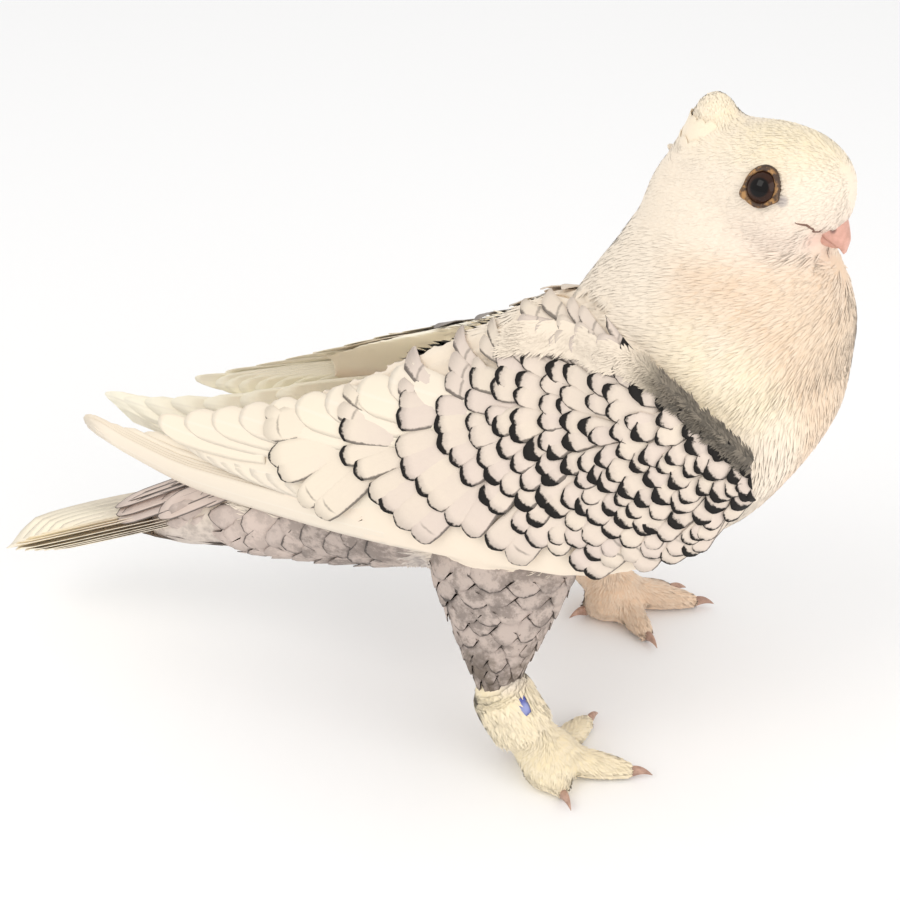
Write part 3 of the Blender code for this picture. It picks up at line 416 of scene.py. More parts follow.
def across_wing(s, share):
    """Places across the wing, at shares of the way from its upper edge to its lower one."""
    top, low = through(WING_TOP, s), through(WING_LOW, s)
    return top + (low - top) * share


def wing_breadth(s, t):
    """How far the sheet stands off the bird's middle: from the inner edge out by a rounded shoulder."""
    top, low = through(WING_TOP, s), through(WING_LOW, s)
    share = np.clip((top - t) / (top - low), 0, 1.15)
    inner, outer = through(BREADTH_TOP, s), through(BREADTH_OUT, s)
    shoulder = np.clip(1 - np.abs(1 - share) ** SHOULDER_ROUND, 0, 1) ** SHOULDER_FLAT
    return inner + (outer - inner) * shoulder - LOWER_TUCK * share ** 4


def on_wing(s, t, lift, side, tilt=1):
    """A point of the wing: s from the wrist to the tip, t across, lift along the sheet's own normal. A
    tilt under one leans that normal less with the slope across."""
    s, t, lift = np.broadcast_arrays(*(np.asarray(value, float) for value in (s, t, lift)))
    step, steepest = 0.6, 1.6
    out = wing_breadth(s, t)
    slope_s = (wing_breadth(s + step, t) - wing_breadth(s - step, t)) / (2 * step)
    slope_t = (wing_breadth(s, t + step) - wing_breadth(s, t - step)) / (2 * step)
    slope_t = tilt * np.clip(slope_t, -steepest, steepest)
    size = np.sqrt(1 + slope_s ** 2 + slope_t ** 2)
    s, t, out = s - lift * slope_s / size, t - lift * slope_t / size, out + lift / size
    t = t * np.where(t > 0, TOP_SHARE[side], 1)
    along = (WING_TIP - WRIST) / np.linalg.norm(WING_TIP - WRIST)
    x = WRIST[0] + s * along[0] + t * along[1]
    z = WRIST[1] + s * along[1] - t * along[0]
    wrist, tip, roll = WING_SET[side]
    z = z + wrist + (tip - wrist) * s / WING_SPAN - ROLL_HEIGHT
    y = out * np.cos(roll) + z * np.sin(roll)
    return np.stack([x, side * y, ROLL_HEIGHT + z * np.cos(roll) - out * np.sin(roll)], axis=-1)


def wing_core(side):
    """The arm under the feathers: a shell between the sheet and an inner face, thick in the middle."""
    places = end_spaced(0, CORE_THICKNESS[-1][0], 40)[:, None]
    share = np.concatenate([np.linspace(0, 1, 24), np.linspace(1, 0, 24)])
    inner = np.repeat((0, 1), 24)
    bulge = np.sqrt(np.clip(1 - np.abs(2 * share - 1) ** 3, 0, 1))
    thickness = 0.9 + through(CORE_THICKNESS, places) * bulge
    lift = -inner * thickness - COAT * (1 - inner)
    return on_wing(places, across_wing(places, share), lift, side, EVEN_TILT)


def wing_samples(side):
    """Points and normals of the sheet, dense enough to find the place on it that is nearest a point."""
    s = np.linspace(0, 186, 94)[:, None]
    t = across_wing(s, np.linspace(0, 1, 26))
    points = on_wing(s, t, 0, side)
    normals = unit(on_wing(s, t, 0.5, side) - points)
    return points.reshape(-1, 3), normals.reshape(-1, 3)


wing_sheets = {side: wing_samples(side) for side in SIDES}
body_lofts += [wing_core(side) for side in SIDES]
print("wing from", wing_sheets[RIGHT][0].min(0).round(1), "to", wing_sheets[RIGHT][0].max(0).round(1))

# %% [markdown]
# ## Legs and feet
#
# The thigh is feathered to the hock. The shank and the toes wear short feathers too, so they look
# thick and soft. Each toe is a tube with a flat sole on the floor.

# %% Rings of a leg
THIGH_TOP = {RIGHT: (-18.5, -24, 66), LEFT: (-15, 25, 66)}
HOCK = {RIGHT: (-18, -32, 29), LEFT: (-15, 46, 29)}
FOOT = {RIGHT: (-4, -30.5, 0), LEFT: (-1, 50, 0)}
TOES = {
    RIGHT: (("middle", 28, 9, 1.05), ("inner", 28, 72, 0.95), ("outer", 17.8, -57, 1.1),
            ("back", 15, 146, 1)),
    LEFT: (("middle", 30, 14, 1.1), ("inner", 25.5, -50, 1.05), ("outer", 24, 35, 1.1),
           ("back", 16, -135, 1.3)),
}
TOE_RADIUS = 4.1
CLAW_LENGTH = 5
FOOT_HEIGHT = 6.4
THIGH_DEPTH = ((-0.2, 22), (0.2, 19), (0.6, 13), (0.9, 7.8), (1.1, 4.2))
THIGH_WIDTH = ((-0.2, 14), (0.2, 13.5), (0.6, 10.5), (0.9, 7), (1.1, 3.8))
FOOT_BALL = np.array((9.2, 8.6, 7.4))
HEEL = {RIGHT: (1.5, -5.5, 5), LEFT: (-1, -6.5, 5.2)}
HEEL_RADII = np.array((7.2, 6, 6.6))
SHANK_GIRTH = ((0, 5.8), (0.08, 7.4), (0.3, 7.6), (0.7, 7.4), (1, 6.4))
TOE_GIRTH = ((0, 1.3), (0.35, 1.12), (0.7, 0.95), (1, 0.62))
TOE_HEIGHT = ((0, 5.6), (0.4, 4), (0.75, 3.2), (1, 2.3))
SHANK_COAT, FOOT_COAT, TOE_COAT = 0.6, 0.5, 0.4
SHANK_BOW = 1.6
SOLE = 0.3


def rings_about(middle, wide, high, first, second, around):
    """Rings round a row of middles, `wide` along the first direction and `high` along the second."""
    angle = circle(around)[:, None]
    return (middle[:, None] + wide[:, None, None] * np.cos(angle) * first
            + high[:, None, None] * np.sin(angle) * second)


def cut_flat(rings, floor):
    """The same rings with nothing below a height, as a sole is."""
    rings[..., 2] = np.maximum(rings[..., 2], floor)
    return rings


def tube_rings(path, wide, high, around=24):
    """Rings square to a path, `wide` fore and aft and `high` sideways."""
    ahead = unit(np.gradient(path, axis=0))
    first = unit(np.cross(ahead, (0, 1, 0)))
    second = np.cross(ahead, first)
    return rings_about(path, wide, high, first[:, None], second[:, None], around)


def compass(heading):
    """A level direction at a heading in degrees from straight ahead, and the one to its left."""
    cos, sin = math.cos(math.radians(heading)), math.sin(math.radians(heading))
    return np.array((cos, sin, 0)), np.array((-sin, cos, 0))


def ball_rings(centre, radii, count=24, around=36):
    """Rings of an ellipsoid about an upright axis."""
    polar = np.linspace(0.05, np.pi - 0.05, count)[:, None]
    x, y = np.sin(polar) * np.cos(circle(around)), np.sin(polar) * np.sin(circle(around))
    ball = np.stack(np.broadcast_arrays(x, y, np.cos(polar)), axis=-1)
    return np.asarray(centre) + ball * np.asarray(radii)


def shank_path(side, share):
    """The shank's axis, from the hock to the ball of the foot, with a slight bow to the rear."""
    hock, foot = np.array(HOCK[side]), np.array(FOOT[side]) + (0, 0, FOOT_HEIGHT)
    share = np.asarray(share, float)[:, None]
    return hock + (foot - hock) * share - np.array((SHANK_BOW, 0, 0)) * 4 * share * (1 - share)


def thigh_rings(side):
    """The thigh's rings, wide in the flank and narrow at the hock."""
    top, hock = np.array(THIGH_TOP[side]), np.array(HOCK[side])
    share = np.linspace(-0.15, 1.08, 26)
    depth, width = through(THIGH_DEPTH, share) - COAT, through(THIGH_WIDTH, share) - COAT
    return tube_rings(top + (hock - top) * share[:, None], depth, width)


def toe_rings(side, length, heading, girth):
    """A toe's rings: a tube that tapers along its heading."""
    ahead, across = compass(heading)
    share = np.linspace(0.05, 1, 18)
    radius = through(TOE_GIRTH, share) * TOE_RADIUS
    radius = radius * (1 + (girth - 1) * (1 - share)) - TOE_COAT
    centre = (np.array(FOOT[side]) + ahead * ((length - CLAW_LENGTH) * share)[:, None]
              + UP * through(TOE_HEIGHT, share)[:, None])
    return rings_about(centre, radius, radius, across, UP, 20)


def leg_lofts(side):
    """Thigh, shank, ball of the foot, heel and toes, drawn in by the depth of their short feathers."""
    share = np.linspace(0, 1, 20)
    radii = through(SHANK_GIRTH, share) - SHANK_COAT
    balls = [ball_rings(np.array(FOOT[side]) + place, size - FOOT_COAT)
             for place, size in (((0, 0, FOOT_HEIGHT), FOOT_BALL), (HEEL[side], HEEL_RADII))]
    toes = [toe_rings(side, length, heading, girth) for _, length, heading, girth in TOES[side]]
    return [thigh_rings(side), tube_rings(shank_path(side, share), radii, radii),
            *(cut_flat(rings, SOLE) for rings in balls + toes)]


body_lofts += leg_lofts(RIGHT) + leg_lofts(LEFT)
print("lofts in all:", len(body_lofts))

# %% [markdown]
# ## The markings
#
# Head, neck and breast are cream white. The crown is a little yellow, the cheek a little pink, and the
# front of the neck and breast beige, partly as the bird's own colour and partly as painted shade on the
# front, which is turned from the light. The thighs and the underside of the tail are mottled grey, the
# feathered feet yellow cream. On the far side, where the wings meet the back, the skin is painted paler
# as painted light in the near wing's shade. Skin and feathers share one rule, so that the markings agree
# wherever a gap between feathers shows the skin.

# %% One rule for the colour of the body
CREAM = (0.88, 0.76, 0.62)
WARM = (0.90, 0.77, 0.52)
BLUSH = (0.83, 0.67, 0.56)
# Beige of the front of neck and breast, partly the bird's own colour and partly painted shade.
SHADED_BEIGE = (0.77, 0.55, 0.37)
SMOKE = (0.34, 0.29, 0.27)
SOOT = (0.012, 0.010, 0.009)
STRAW = (0.88, 0.75, 0.50)
SHELL = (0.80, 0.56, 0.38)
THIGH_END = (29, 33)


def body_paint(place, x, y, z):
    """Cream; yellow on crown and throat, pink on the cheek, beige in front, partly painted shade; grey
    thighs; straw feet; painted light on the far wing's inner side.
    """
    slow = place.noise(0.055, 3)
    quick = place.noise(0.35, 3, 0.6)
    crown = z.step(164, 174) * x.step(10, 34)
    throat = z.window(98, 118, 128, 142) * x.step(8, 30)
    warm = (crown * 0.9 + throat * 0.8) * slow.step(0.2, 0.55)
    colour = warm.tint(CREAM, WARM)
    cheek = z.near(152, 14) * x.step(22, 40)
    colour = (cheek * 0.8).tint(colour, BLUSH)
    # Partly painted shade: the beige front begins at the near side's line between the lit side and the shaded
    # front, and covers the lower breast too.
    leftward = y + (x - HEAD_PIVOT) * z.step(*NECK_TWIST) * math.tan(-HEAD_YAW)
    front = leftward.window(-28, -21, 28, 40) * x.step(12, 26) * z.fall(142, 152)
    low_front = x.step(40, 58) * z.fall(84, 104)
    colour = (front.most(low_front * 0.6) * 0.85).tint(colour, SHADED_BEIGE)
    under = x.fall(-84, -48) * z.fall(46, 60)
    thigh = z.fall(58, 66) * z.step(*THIGH_END) * x.window(-70, -46, 4, 22)
    grey = (under * 0.8).most(thigh)
    grey_tone = quick.step(0.34, 0.66).tint(SMOKE, (0.60, 0.52, 0.47))
    dark = quick.step(0.50, 0.68) * z.fall(32, 46)
    colour = grey.tint(colour, (dark * 0.8).tint(grey_tone, (0.10, 0.08, 0.06)))
    # Painted light: the far wing's inner side and the skin beside it lie in the near wing's shade, and are
    # painted a paler cream.
    painted_light_far_wing = y.step(1, 5) * z.step(82, 86) * x.fall(-24, -14)
    colour = painted_light_far_wing.tint(colour, (1, 0.93, 0.77))
    foot = z.fall(27, 31)
    foot_tone = y.step(18, 30).tint(STRAW, SHELL)
    colour = foot.tint(colour, foot_tone)
    for side in SIDES:
        corner = place.gap(on_head(EYE_X + 4.9, side * 13.4, EYE_Z - 2.6))
        colour = (corner.fall(0.7, 1.9) * 0.8).tint(colour, (0.33, 0.29, 0.30))
        lips = place.gap(on_head(23.5, side * 6.5, 152.8))
        colour = (lips.fall(1.5, 4.5) * 0.6).tint(colour, (0.80, 0.52, 0.42))
    return (quick.step(0.2, 0.8) * 0.10).tint(colour, (0.93, 0.84, 0.73))


def skin_paint(place, x, y, z):
    """The body's colour, on skin with a fine grain."""
    return body_paint(place, x, y, z), place.noise(1.2, 4)


skin_finish = finish_of("skin", skin_paint, 0.75, 0.3, 0.0002, sheen_weight=0.15)
print("finish:", skin_finish.name)

# %% [markdown]
# ## One skin
#
# A real bird has one skin, so no seam may show where neck meets breast or thigh meets belly. All the
# lofts go into one mesh, and a voxel remesh takes the outside of them all as an even net. The net is
# smoothed, which rounds the joins, most of all at the foot of the neck, and pressed in wherever it
# would stand through a wing.

# %% Remesh, smooth and press in
VOXEL = 1.15


def remeshed(lofts, voxel):
    """Points and four-sided faces of the even net round all the lofts together."""
    points, sides, ends, count = [], [], [], 0
    for rings in lofts:
        more, faces = loft(rings)
        points.append(more)
        sides.append(faces[0] + count)
        ends.append(faces[1] + count)
        count += len(more)
    rough = outward(build("rough", np.vstack(points), [np.vstack(sides), np.vstack(ends)]))
    remesh = rough.modifiers.new("remesh", "REMESH")
    remesh.mode, remesh.voxel_size = "VOXEL", voxel * MM
    graph = bpy.context.evaluated_depsgraph_get()
    net = bpy.data.meshes.new_from_object(rough.evaluated_get(graph))
    co = np.zeros(len(net.vertices) * 3, np.float32)
    net.vertices.foreach_get("co", co)
    corner = np.zeros(len(net.loops), np.int32)
    net.loops.foreach_get("vertex_index", corner)
    bpy.data.objects.remove(rough)
    return co.reshape(-1, 3).astype(float) / MM - SHIFT, corner.reshape(-1, 4)


def smoothed(points, quads, times, factor=0.5):
    """Moves each point part of the way to the mean of its neighbours, `times` over."""
    edges = np.vstack([quads[:, [0, 1]], quads[:, [1, 2]], quads[:, [2, 3]], quads[:, [3, 0]]])
    count = np.bincount(edges.ravel(), minlength=len(points))[:, None]
    for _ in range(times):
        total = np.zeros_like(points)
        for axis in range(3):
            total[:, axis] = (np.bincount(edges[:, 0], points[edges[:, 1], axis], len(points))
                              + np.bincount(edges[:, 1], points[edges[:, 0], axis], len(points)))
        points = points + factor * (total / count - points)
    return points


def nearest(points, samples, lot=4000):
    """For each point the number of the nearest sample and its distance."""
    squares = (samples ** 2).sum(1)
    best = np.concatenate([np.argmin(squares - 2 * points[i:i + lot] @ samples.T, axis=1)
                           for i in range(0, len(points), lot)])
    return best, np.linalg.norm(points - samples[best], axis=1)


COVERED_REACH, COVERED_HEIGHTS, NEAR_WING = 1.6, (-6, 9), 4.5


def pressed_in(points, depth):
    """Keeps the net below the wings' sheets by a depth, and tells which points lie under or near one."""
    under, close = np.zeros(len(points), bool), np.zeros(len(points), bool)
    for sheet, normals in wing_sheets.values():
        best, distance = nearest(points, sheet)
        above = ((points - sheet[best]) * normals[best]).sum(1)
        rest = np.sqrt(np.maximum(distance ** 2 - above ** 2, 0))
        covered = (rest < COVERED_REACH) & (above > COVERED_HEIGHTS[0]) & (above < COVERED_HEIGHTS[1])
        push = np.where(covered, np.maximum(above + depth, 0), 0)
        points = points - normals[best] * push[:, None]
        under |= covered
        close |= distance < NEAR_WING
    return points, under, close


def sculpted(points):
    """Sinks the eye sockets and the corners of the mouth, and lifts a brow over each eye."""
    points = points.copy()
    origin = on_head(0, 0, 0)
    forward, aside = on_head(1, 0, 0) - origin, on_head(0, 1, 0) - origin
    for side in SIDES:
        eye = on_head(EYE_X, side * 13.8, EYE_Z)
        brow = eye + UP * 6.2 - forward * 0.5
        lips = on_head(25.5, side * 7, 151.8)
        for spot, rise, near, far in ((eye, -2.4, 2.2, 4.3), (brow, 0.6, 1, 6.5), (lips, -3, 1.5, 6)):
            away = np.linalg.norm(points - spot, axis=1)
            points += side * aside * (rise * (1 - ease(away, near, far)))[:, None]
    return points


net, quads = remeshed(body_lofts, VOXEL)
net = smoothed(net, quads, 9)
neck_foot = (1 - ease(np.abs(net[:, 2] - 104), 9, 20)) * ease(net[:, 0], 8, 22)
net = sculpted(net + neck_foot[:, None] * (smoothed(net, quads, 70) - net))
net, under_wing, near_wing = pressed_in(net, 1.5)
net = cut_flat(net, SOLE)
skin = build("skin", net, [quads], skin_finish)
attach(skin, "root")
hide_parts("torso", "neck", "head", "thigh_right", "thigh_left", "shank_right", "shank_left",
            "foot_right", "foot_left")
normal_list = np.zeros(len(net) * 3, np.float32)
skin.data.vertices.foreach_get("normal", normal_list)
net_normals = normal_list.reshape(-1, 3).astype(float)
print("skin faces:", len(quads), "under the wings:", int(under_wing.sum()))

# %% [markdown]
# ## Which way the feathers lie
#
# Body feathers point away from the beak: backwards over the head, up on the crest, down the neck and
# breast, back along the trunk and down the legs. The lie is a blend of such directions by place,
# pressed flat onto the skin.

# %% The lie of the coat
def head_place(points):
    """Places in the head's own, unturned frame: forward of the pivot, to the left, and height."""
    local = turned(points, -HEAD_YAW)
    return local[:, 0] - HEAD_PIVOT, local[:, 1], local[:, 2]


def along_skin(ways, normals):
    """Directions laid flat onto a surface."""
    return unit(ways - normals * (ways * normals).sum(1, keepdims=True))


def lie_of(points, normals):
    """The direction in which feathers point at each place, along the skin."""
    x, y, z = points.T
    ahead, aside, height = head_place(points)
    forward = np.array((math.cos(HEAD_YAW), math.sin(HEAD_YAW), 0))

    def blend(first, second, share):
        return first + (np.asarray(second, float) - first) * share[:, None]

    lie = np.broadcast_to(np.array((-1, 0, -0.18)), points.shape)
    lie = blend(lie, (-0.55, 0, -0.95), ease(x, 10, 48))
    lie = blend(lie, (-0.95, 0, -0.55), ease(z, 118, 140))
    over_head = -forward * 1 - UP * 0.28 + 0.25 * np.stack([0 * aside, np.sign(aside), 0 * aside], 1)
    lie = blend(lie, over_head, ease(height, 140, 152))
    crown = ease(height, 168, 174) * (1 - ease(ahead, -4, 4))
    nape = ease(-ahead, 9, 13) * ease(height, 160, 166)
    lie = blend(lie, UP * 1.2 - forward * 0.3, np.maximum(crown, nape))
    leg = (1 - ease(z, 52, 62)) * ease(x, -66, -44)
    lie = blend(lie, (-0.25, 0, -1), leg)
    for side in SIDES:
        foot = (points - np.array(FOOT[side])) * (1, 1, 0)
        near_floor = (1 - ease(z, 9, 16)) * (side * y > 5)
        lie = blend(lie, unit(foot) * 1 - UP * 0.3, near_floor)
    return along_skin(lie, normals)


def picked(points, spacing, seed):
    """Numbers of points that lie about `spacing` apart: one, drawn at random, in each cell of a grid."""
    random = chance(seed)
    order = random.permutation(len(points))
    cells = np.floor(points[order] / spacing + random.random(3)).astype(np.int64)
    _, first = np.unique(cells @ np.array((1, 4099, 16777619)), return_index=True)
    return np.sort(order[first])


skin_tree = BVHTree.FromPolygons(net.tolist(), quads.tolist())


def on_skin(points):
    """The places of the skin that are nearest these points."""
    return np.array([skin_tree.find_nearest(point)[0] for point in points.tolist()])


lie = lie_of(net, net_normals)
print("the lie at five places:", lie[:: len(lie) // 5][:5].round(2).tolist())

# %% [markdown]
# ## Tufts
#
# The small feathers of a pigeon's neck have loose ends, so they look like fine strands more than like
# scales. Each is a fan of narrow pointed barbs from one root. A barb is a solid sliver with three
# sides, which bends down along its length, so that the coat lies close. The slivers borrow the skin's
# normals, so light runs over them as over one soft surface.

# %% Fans of barbs
FAN_ANGLE, FAN_SPREAD, ROOT_DEPTH, BARB_DEPTH, TUFT_PATCH = 0.30, 0.22, 0.12, 0.10, 0.003
BARB_SIDES = np.array(((0, 3, 4, 1), (1, 4, 5, 2), (2, 5, 3, 0)))
BARB_ENDS = np.array(((3, 6, 4), (4, 6, 5), (5, 6, 3), (2, 0, 1)))
BARB_PATCH = np.array(((0, 0), (0.3, 0), (0.15, 0), (0, 0.5), (0.3, 0.5), (0.15, 0.5), (0.15, 1)))


def tuft_mesh(name, roots, normals, lies, length, width, barbs, lift, material, seed, flat, follow=True):
    """Tufts as fans of slivers. A barb's line is root + lie*l*v + normal*(lift*(1.25*v - 0.35*v^2) +
    drop*v^2), turned by its own small angle in the fan. With `follow`, the drop is how far the skin falls
    away under its end, and tufts on sharp bends are shorter. The section is a flat triangle that narrows
    to a point. `flat` is each root's place on the map for baking, where a tuft is a patch 0.003 across."""
    random = chance(seed)
    count = len(roots)
    length = np.broadcast_to(np.asarray(length, float), (count,)) * (0.8 + 0.4 * random.random(count))
    side_way = np.cross(normals, lies)
    place = np.linspace(-1, 1, barbs)
    angle = (place * FAN_ANGLE + (random.random((count, barbs)) - 0.5) * FAN_SPREAD)[..., None]
    turned_lie = lies[:, None, :] * np.cos(angle) + side_way[:, None, :] * np.sin(angle)
    turned_side = side_way[:, None, :] * np.cos(angle) - lies[:, None, :] * np.sin(angle)
    reach = length[:, None] * (1 - 0.22 * place ** 2) * (0.85 + 0.3 * random.random((count, barbs)))
    start = roots[:, None, :] + side_way[:, None, :] * (place * width)[None, :, None] * 0.5
    share = np.array((0, 0.5, 1))
    lifted = lift * (0.6 + 0.8 * random.random((count, barbs)))
    drop = ((on_skin(roots + lies * length[:, None]) - roots) * normals).sum(1) / length ** 2
    over = np.clip(1 - 2.5 * (np.abs(drop) * length - 0.16), 0.4, 1) if follow else np.ones(count)
    reach = reach * over[:, None]
    drop = np.clip(drop, -0.5 / length, 0.25 / length)[:, None] * reach ** 2 * follow
    rise = -ROOT_DEPTH + lifted[..., None] * (1.25 * share - 0.35 * share ** 2) + drop[..., None] * share ** 2
    line = (start[:, :, None, :] + turned_lie[:, :, None, :] * (reach[..., None] * share)[..., None]
            + normals[:, None, None, :] * rise[..., None])
    half = (width / barbs * 0.95) * np.array((0.8, 1))
    left = line[:, :, :2] - turned_side[:, :, None, :] * half[:, None]
    right = line[:, :, :2] + turned_side[:, :, None, :] * half[:, None]
    under = line[:, :, :2] - normals[:, None, None, :] * BARB_DEPTH
    points = np.stack([left[:, :, 0], right[:, :, 0], under[:, :, 0], left[:, :, 1], right[:, :, 1],
                       under[:, :, 1], line[:, :, 2]], axis=2)
    points = cut_flat(points, 0.05)
    shift = (np.arange(count * barbs) * 7)[:, None, None]
    faces = [(part + shift).reshape(-1, part.shape[1]) for part in (BARB_SIDES, BARB_ENDS)]
    columns = np.stack([np.arange(barbs) * 0.7 / barbs, np.zeros(barbs)], 1)
    baked = flat[:, None, None, :] + TUFT_PATCH * (BARB_PATCH + columns[None, :, None] - 0.5)
    edge_tilt = 0.15 * turned_side[:, :, None, :] * np.array((-1, 1, 0, -1, 1, 0, 0))[:, None]
    soft = unit(normals[:, None, None, :] + edge_tilt)
    tone = np.broadcast_to(random.random((count, 1, 1)), points.shape[:3])
    tip = np.broadcast_to(np.array((0, 0, 0, 0.5, 0.5, 0.5, 1)), points.shape[:3])
    made = build(name, points.reshape(-1, 3), faces, material, {"OFBake": baked.reshape(-1, 2)},
                 {"tone": tone.ravel(), "tip": tip.ravel()}, soft.reshape(-1, 3))
    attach(made, "root")
    print(name, "tufts:", count, "triangles:", count * barbs * 10)
    return made


def round_map(points, middle_z=75):
    """Each place on an unwrap round the body: the angle round its long axis, and how far along it lies."""
    angle = np.arctan2(points[:, 2] - middle_z, points[:, 1]) / (2 * np.pi) + 0.5
    return 0.01 + 0.98 * np.stack([angle, np.clip((points[:, 0] + 125) / 190, 0, 1)], axis=1)


def neck_map(points):
    """The same for the upright neck and head: the angle round an upright line, and the height."""
    angle = np.arctan2(points[:, 1], points[:, 0] - 27) / (2 * np.pi) + 0.5
    return 0.01 + 0.98 * np.stack([angle, np.clip((points[:, 2] - 85) / 100, 0, 1)], axis=1)


def coat_paint(place, x, y, z):
    """The body's colour, each tuft a little lighter or darker, paler towards the tips."""
    pale = place.value("tip") * 0.2 + place.value("tone") * 0.2
    return pale.tint(body_paint(place, x, y, z), (0.93, 0.84, 0.72)), None


coat_finish = finish_of("coat", coat_paint, 0.7, sheen_weight=0.2)
x, y, z = net.T
ahead, _, height = head_place(net)
free = ~under_wing & (z > 1.5) & ~(near_wing & (x < 8))
eye_gap = np.min([np.linalg.norm(net - on_head(EYE_X, side * 13, EYE_Z), axis=1)
                  for side in SIDES], axis=0)
beak_gap = np.linalg.norm((net - on_head(26.5, 0, 151.6)) / (6, 7, 4.6), axis=1)
share = np.linspace(0, 1, 6)
mouth_line = on_skin(np.vstack([
    on_head(x0 + (x1 - x0) * share, side * (9.2 - 0.9 * (x0 - MOUTH[0][0])), z0 + (z1 - z0) * share)
    for side in SIDES for (x0, z0), (x1, z1) in zip(MOUTH, MOUTH[1:])]))
free &= (eye_gap > 4.6) & (beak_gap > 1) & (nearest(net, mouth_line)[1] > 0.8)
is_head = height > 149
is_neck = ~is_head & (z > 104) & (x > -14)
is_leg = (z < 50) & (x > -62) & (x < 40)
on_belly = ((x < -50) & (z < 60 + 0.1 * (x + 50))) | ((x < -92) & (z < 62))
trunk = ~is_head & ~is_neck & ~is_leg
leg_map = partial(round_map, middle_z=30)
parts = (
    ("coat_head", is_head, 1.05, 3, 1.3, 4, 0.20, neck_map),
    ("coat_neck", is_neck, 1.55, 6, 1.9, 5, 0.26, neck_map),
    ("coat_breast", trunk & (x > -2), 1.75, 6.6, 2.2, 5, 0.30, round_map),
    ("coat_rear", trunk & ~on_belly & (x <= -2), 2, 6.5, 2.3, 5, 0.30, round_map),
    ("coat_feet", z < 28.5, 1.15, 2.8, 1.2, 4, 0.22, leg_map),
)
for number, (name, mask, spacing, length, width, barbs, lift, flat_map) in enumerate(parts):
    chosen = np.flatnonzero(mask & free)
    chosen = chosen[picked(net[chosen], spacing, 20 + number)]
    roots = net[chosen]
    if name == "coat_head":
        crest_top = ease(roots[:, 2], 171, 175) * (ahead[chosen] < 8)
        chin_gap = np.linalg.norm((roots - on_head(18, 0, 147)) / (1, 1.4, 0.8), axis=1)
        length = length * (1 - 0.5 * crest_top) * (1 - 0.35 * (1 - ease(chin_gap, 6, 13)))
    tuft_mesh(name, roots, net_normals[chosen], lie[chosen], length, width, barbs, lift, coat_finish,
              40 + number, flat_map(roots))

# %% [markdown]
# ## Laced wing feathers
#
# Each covert is a thin leaf with a rounded end. Its own numbers say how far a place on it is from its
# tip and from its edges, and the material draws the black lacing from them: a broad band at the tip,
# a thin line along the lower edge.

# %% A batch of leaves
LEAF_OUTLINE = ((0, 0.55), (0.3, 0.9), (0.65, 1), (0.88, 0.96), (1, 0.82))


def leaves(name, lay, tips, heading, length, half, lift, material, values, seed, rows=9, columns=7,
           round_tip=1, thickness=0.22, flip=False, dome=0.09):
    """Leaves laid out on a sheet whose places are lay(s, t, lift): from each tip back along its heading,
    with the half width of the outline, the corners of the tip drawn back by round_tip*half*|u|^2.4, and
    the middle a dome*half proud of the edges. Two layers and a rim make each one solid."""
    random = chance(seed)
    count = len(tips)
    v = np.linspace(0, 1, rows)[None, :, None]
    u = np.linspace(-1, 1, columns)[None, None, :]
    length, half = length[:, None, None], half[:, None, None]
    round_tip = np.broadcast_to(np.asarray(round_tip, float), (count,))[:, None, None]
    width = half * through(LEAF_OUTLINE, v)
    ragged = 0.04 * half * np.sin(u * 5 + random.random(count)[:, None, None] * 6) * v ** 3
    along = length * (v - 1) - round_tip * half * np.abs(u) ** 2.4 * v ** 4 + ragged
    across = width * u
    cos, sin = np.cos(heading)[:, None, None], np.sin(heading)[:, None, None]
    s = tips[:, 0, None, None] + along * cos - across * sin
    t = tips[:, 1, None, None] - along * sin - across * cos
    rise = lift[:, :1, None] + (lift[:, 1:, None] - lift[:, :1, None]) * v ** 1.3
    rise = rise + dome * half * (0.45 - u * u)
    layers = [lay(s, t, rise + layer * thickness / 2) for layer in (1, -1)]
    points = np.stack(layers, axis=1).reshape(-1, 3)
    under = rows * columns
    r, c = np.meshgrid(np.arange(rows - 1), np.arange(columns - 1), indexing="ij")
    a = (r * columns + c).ravel()
    top = np.stack([a, a + 1, a + columns + 1, a + columns], axis=-1)
    rim = np.concatenate([np.arange(rows) * columns, (rows - 1) * columns + np.arange(1, columns),
                          np.arange(rows - 2, -1, -1) * columns + columns - 1, np.arange(columns - 2, 0, -1)])
    after = np.roll(rim, -1)
    edge = np.stack([rim, after, after + under, rim + under], axis=-1)
    one = np.vstack([top, top[:, ::-1] + under, edge])
    if flip:
        one = one[:, ::-1]
    faces = (one[None] + (np.arange(count) * 2 * under)[:, None, None]).reshape(-1, 4)
    shape = (count, 2, rows, columns)
    numbers = {"from_tip": length * (1 - v), "from_low": width * (1 - u), "from_high": width * (1 + u),
               "from_shaft": np.abs(across), "tone": random.random(count)[:, None, None]}
    numbers.update((key, value[:, None, None]) for key, value in values.items())
    numbers = {key: np.broadcast_to(value[:, None], shape).ravel() for key, value in numbers.items()}
    cells = math.ceil(math.sqrt(count))
    spot = np.stack([np.arange(count) % cells, np.arange(count) // cells], axis=1) / cells
    size = 0.46 / cells
    flat = np.stack(np.broadcast_arrays((u + 1) / 2 * size, v * 2 * size), axis=-1)
    both = np.stack([flat, flat + (size, 0)], axis=1) + 0.03 / cells
    baked = np.broadcast_to(both, (*shape, 2)) + spot[:, None, None, None, :]
    made = build(name, points, [faces], material, {"OFBake": baked.reshape(-1, 2)}, numbers)
    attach(made, "root")
    print(name, "feathers:", count, "triangles:", 2 * len(faces))
    return made


# %% The finish of a laced feather
RIB_GAP = 0.7


def barb_height(place):
    """Fine ribs that slope from the shaft to the edge, and the shaft itself as a low ridge."""
    run = (place.value("from_tip") + place.value("from_shaft") * 1.2) * (2 * math.pi / RIB_GAP)
    return run.math("SINE") * 0.25 + place.value("from_shaft").fall(0, 0.35) * 0.8


def edge_gap(place):
    """How far a place on a leaf is from its nearer long edge."""
    return place.value("from_low").least(place.value("from_high"))


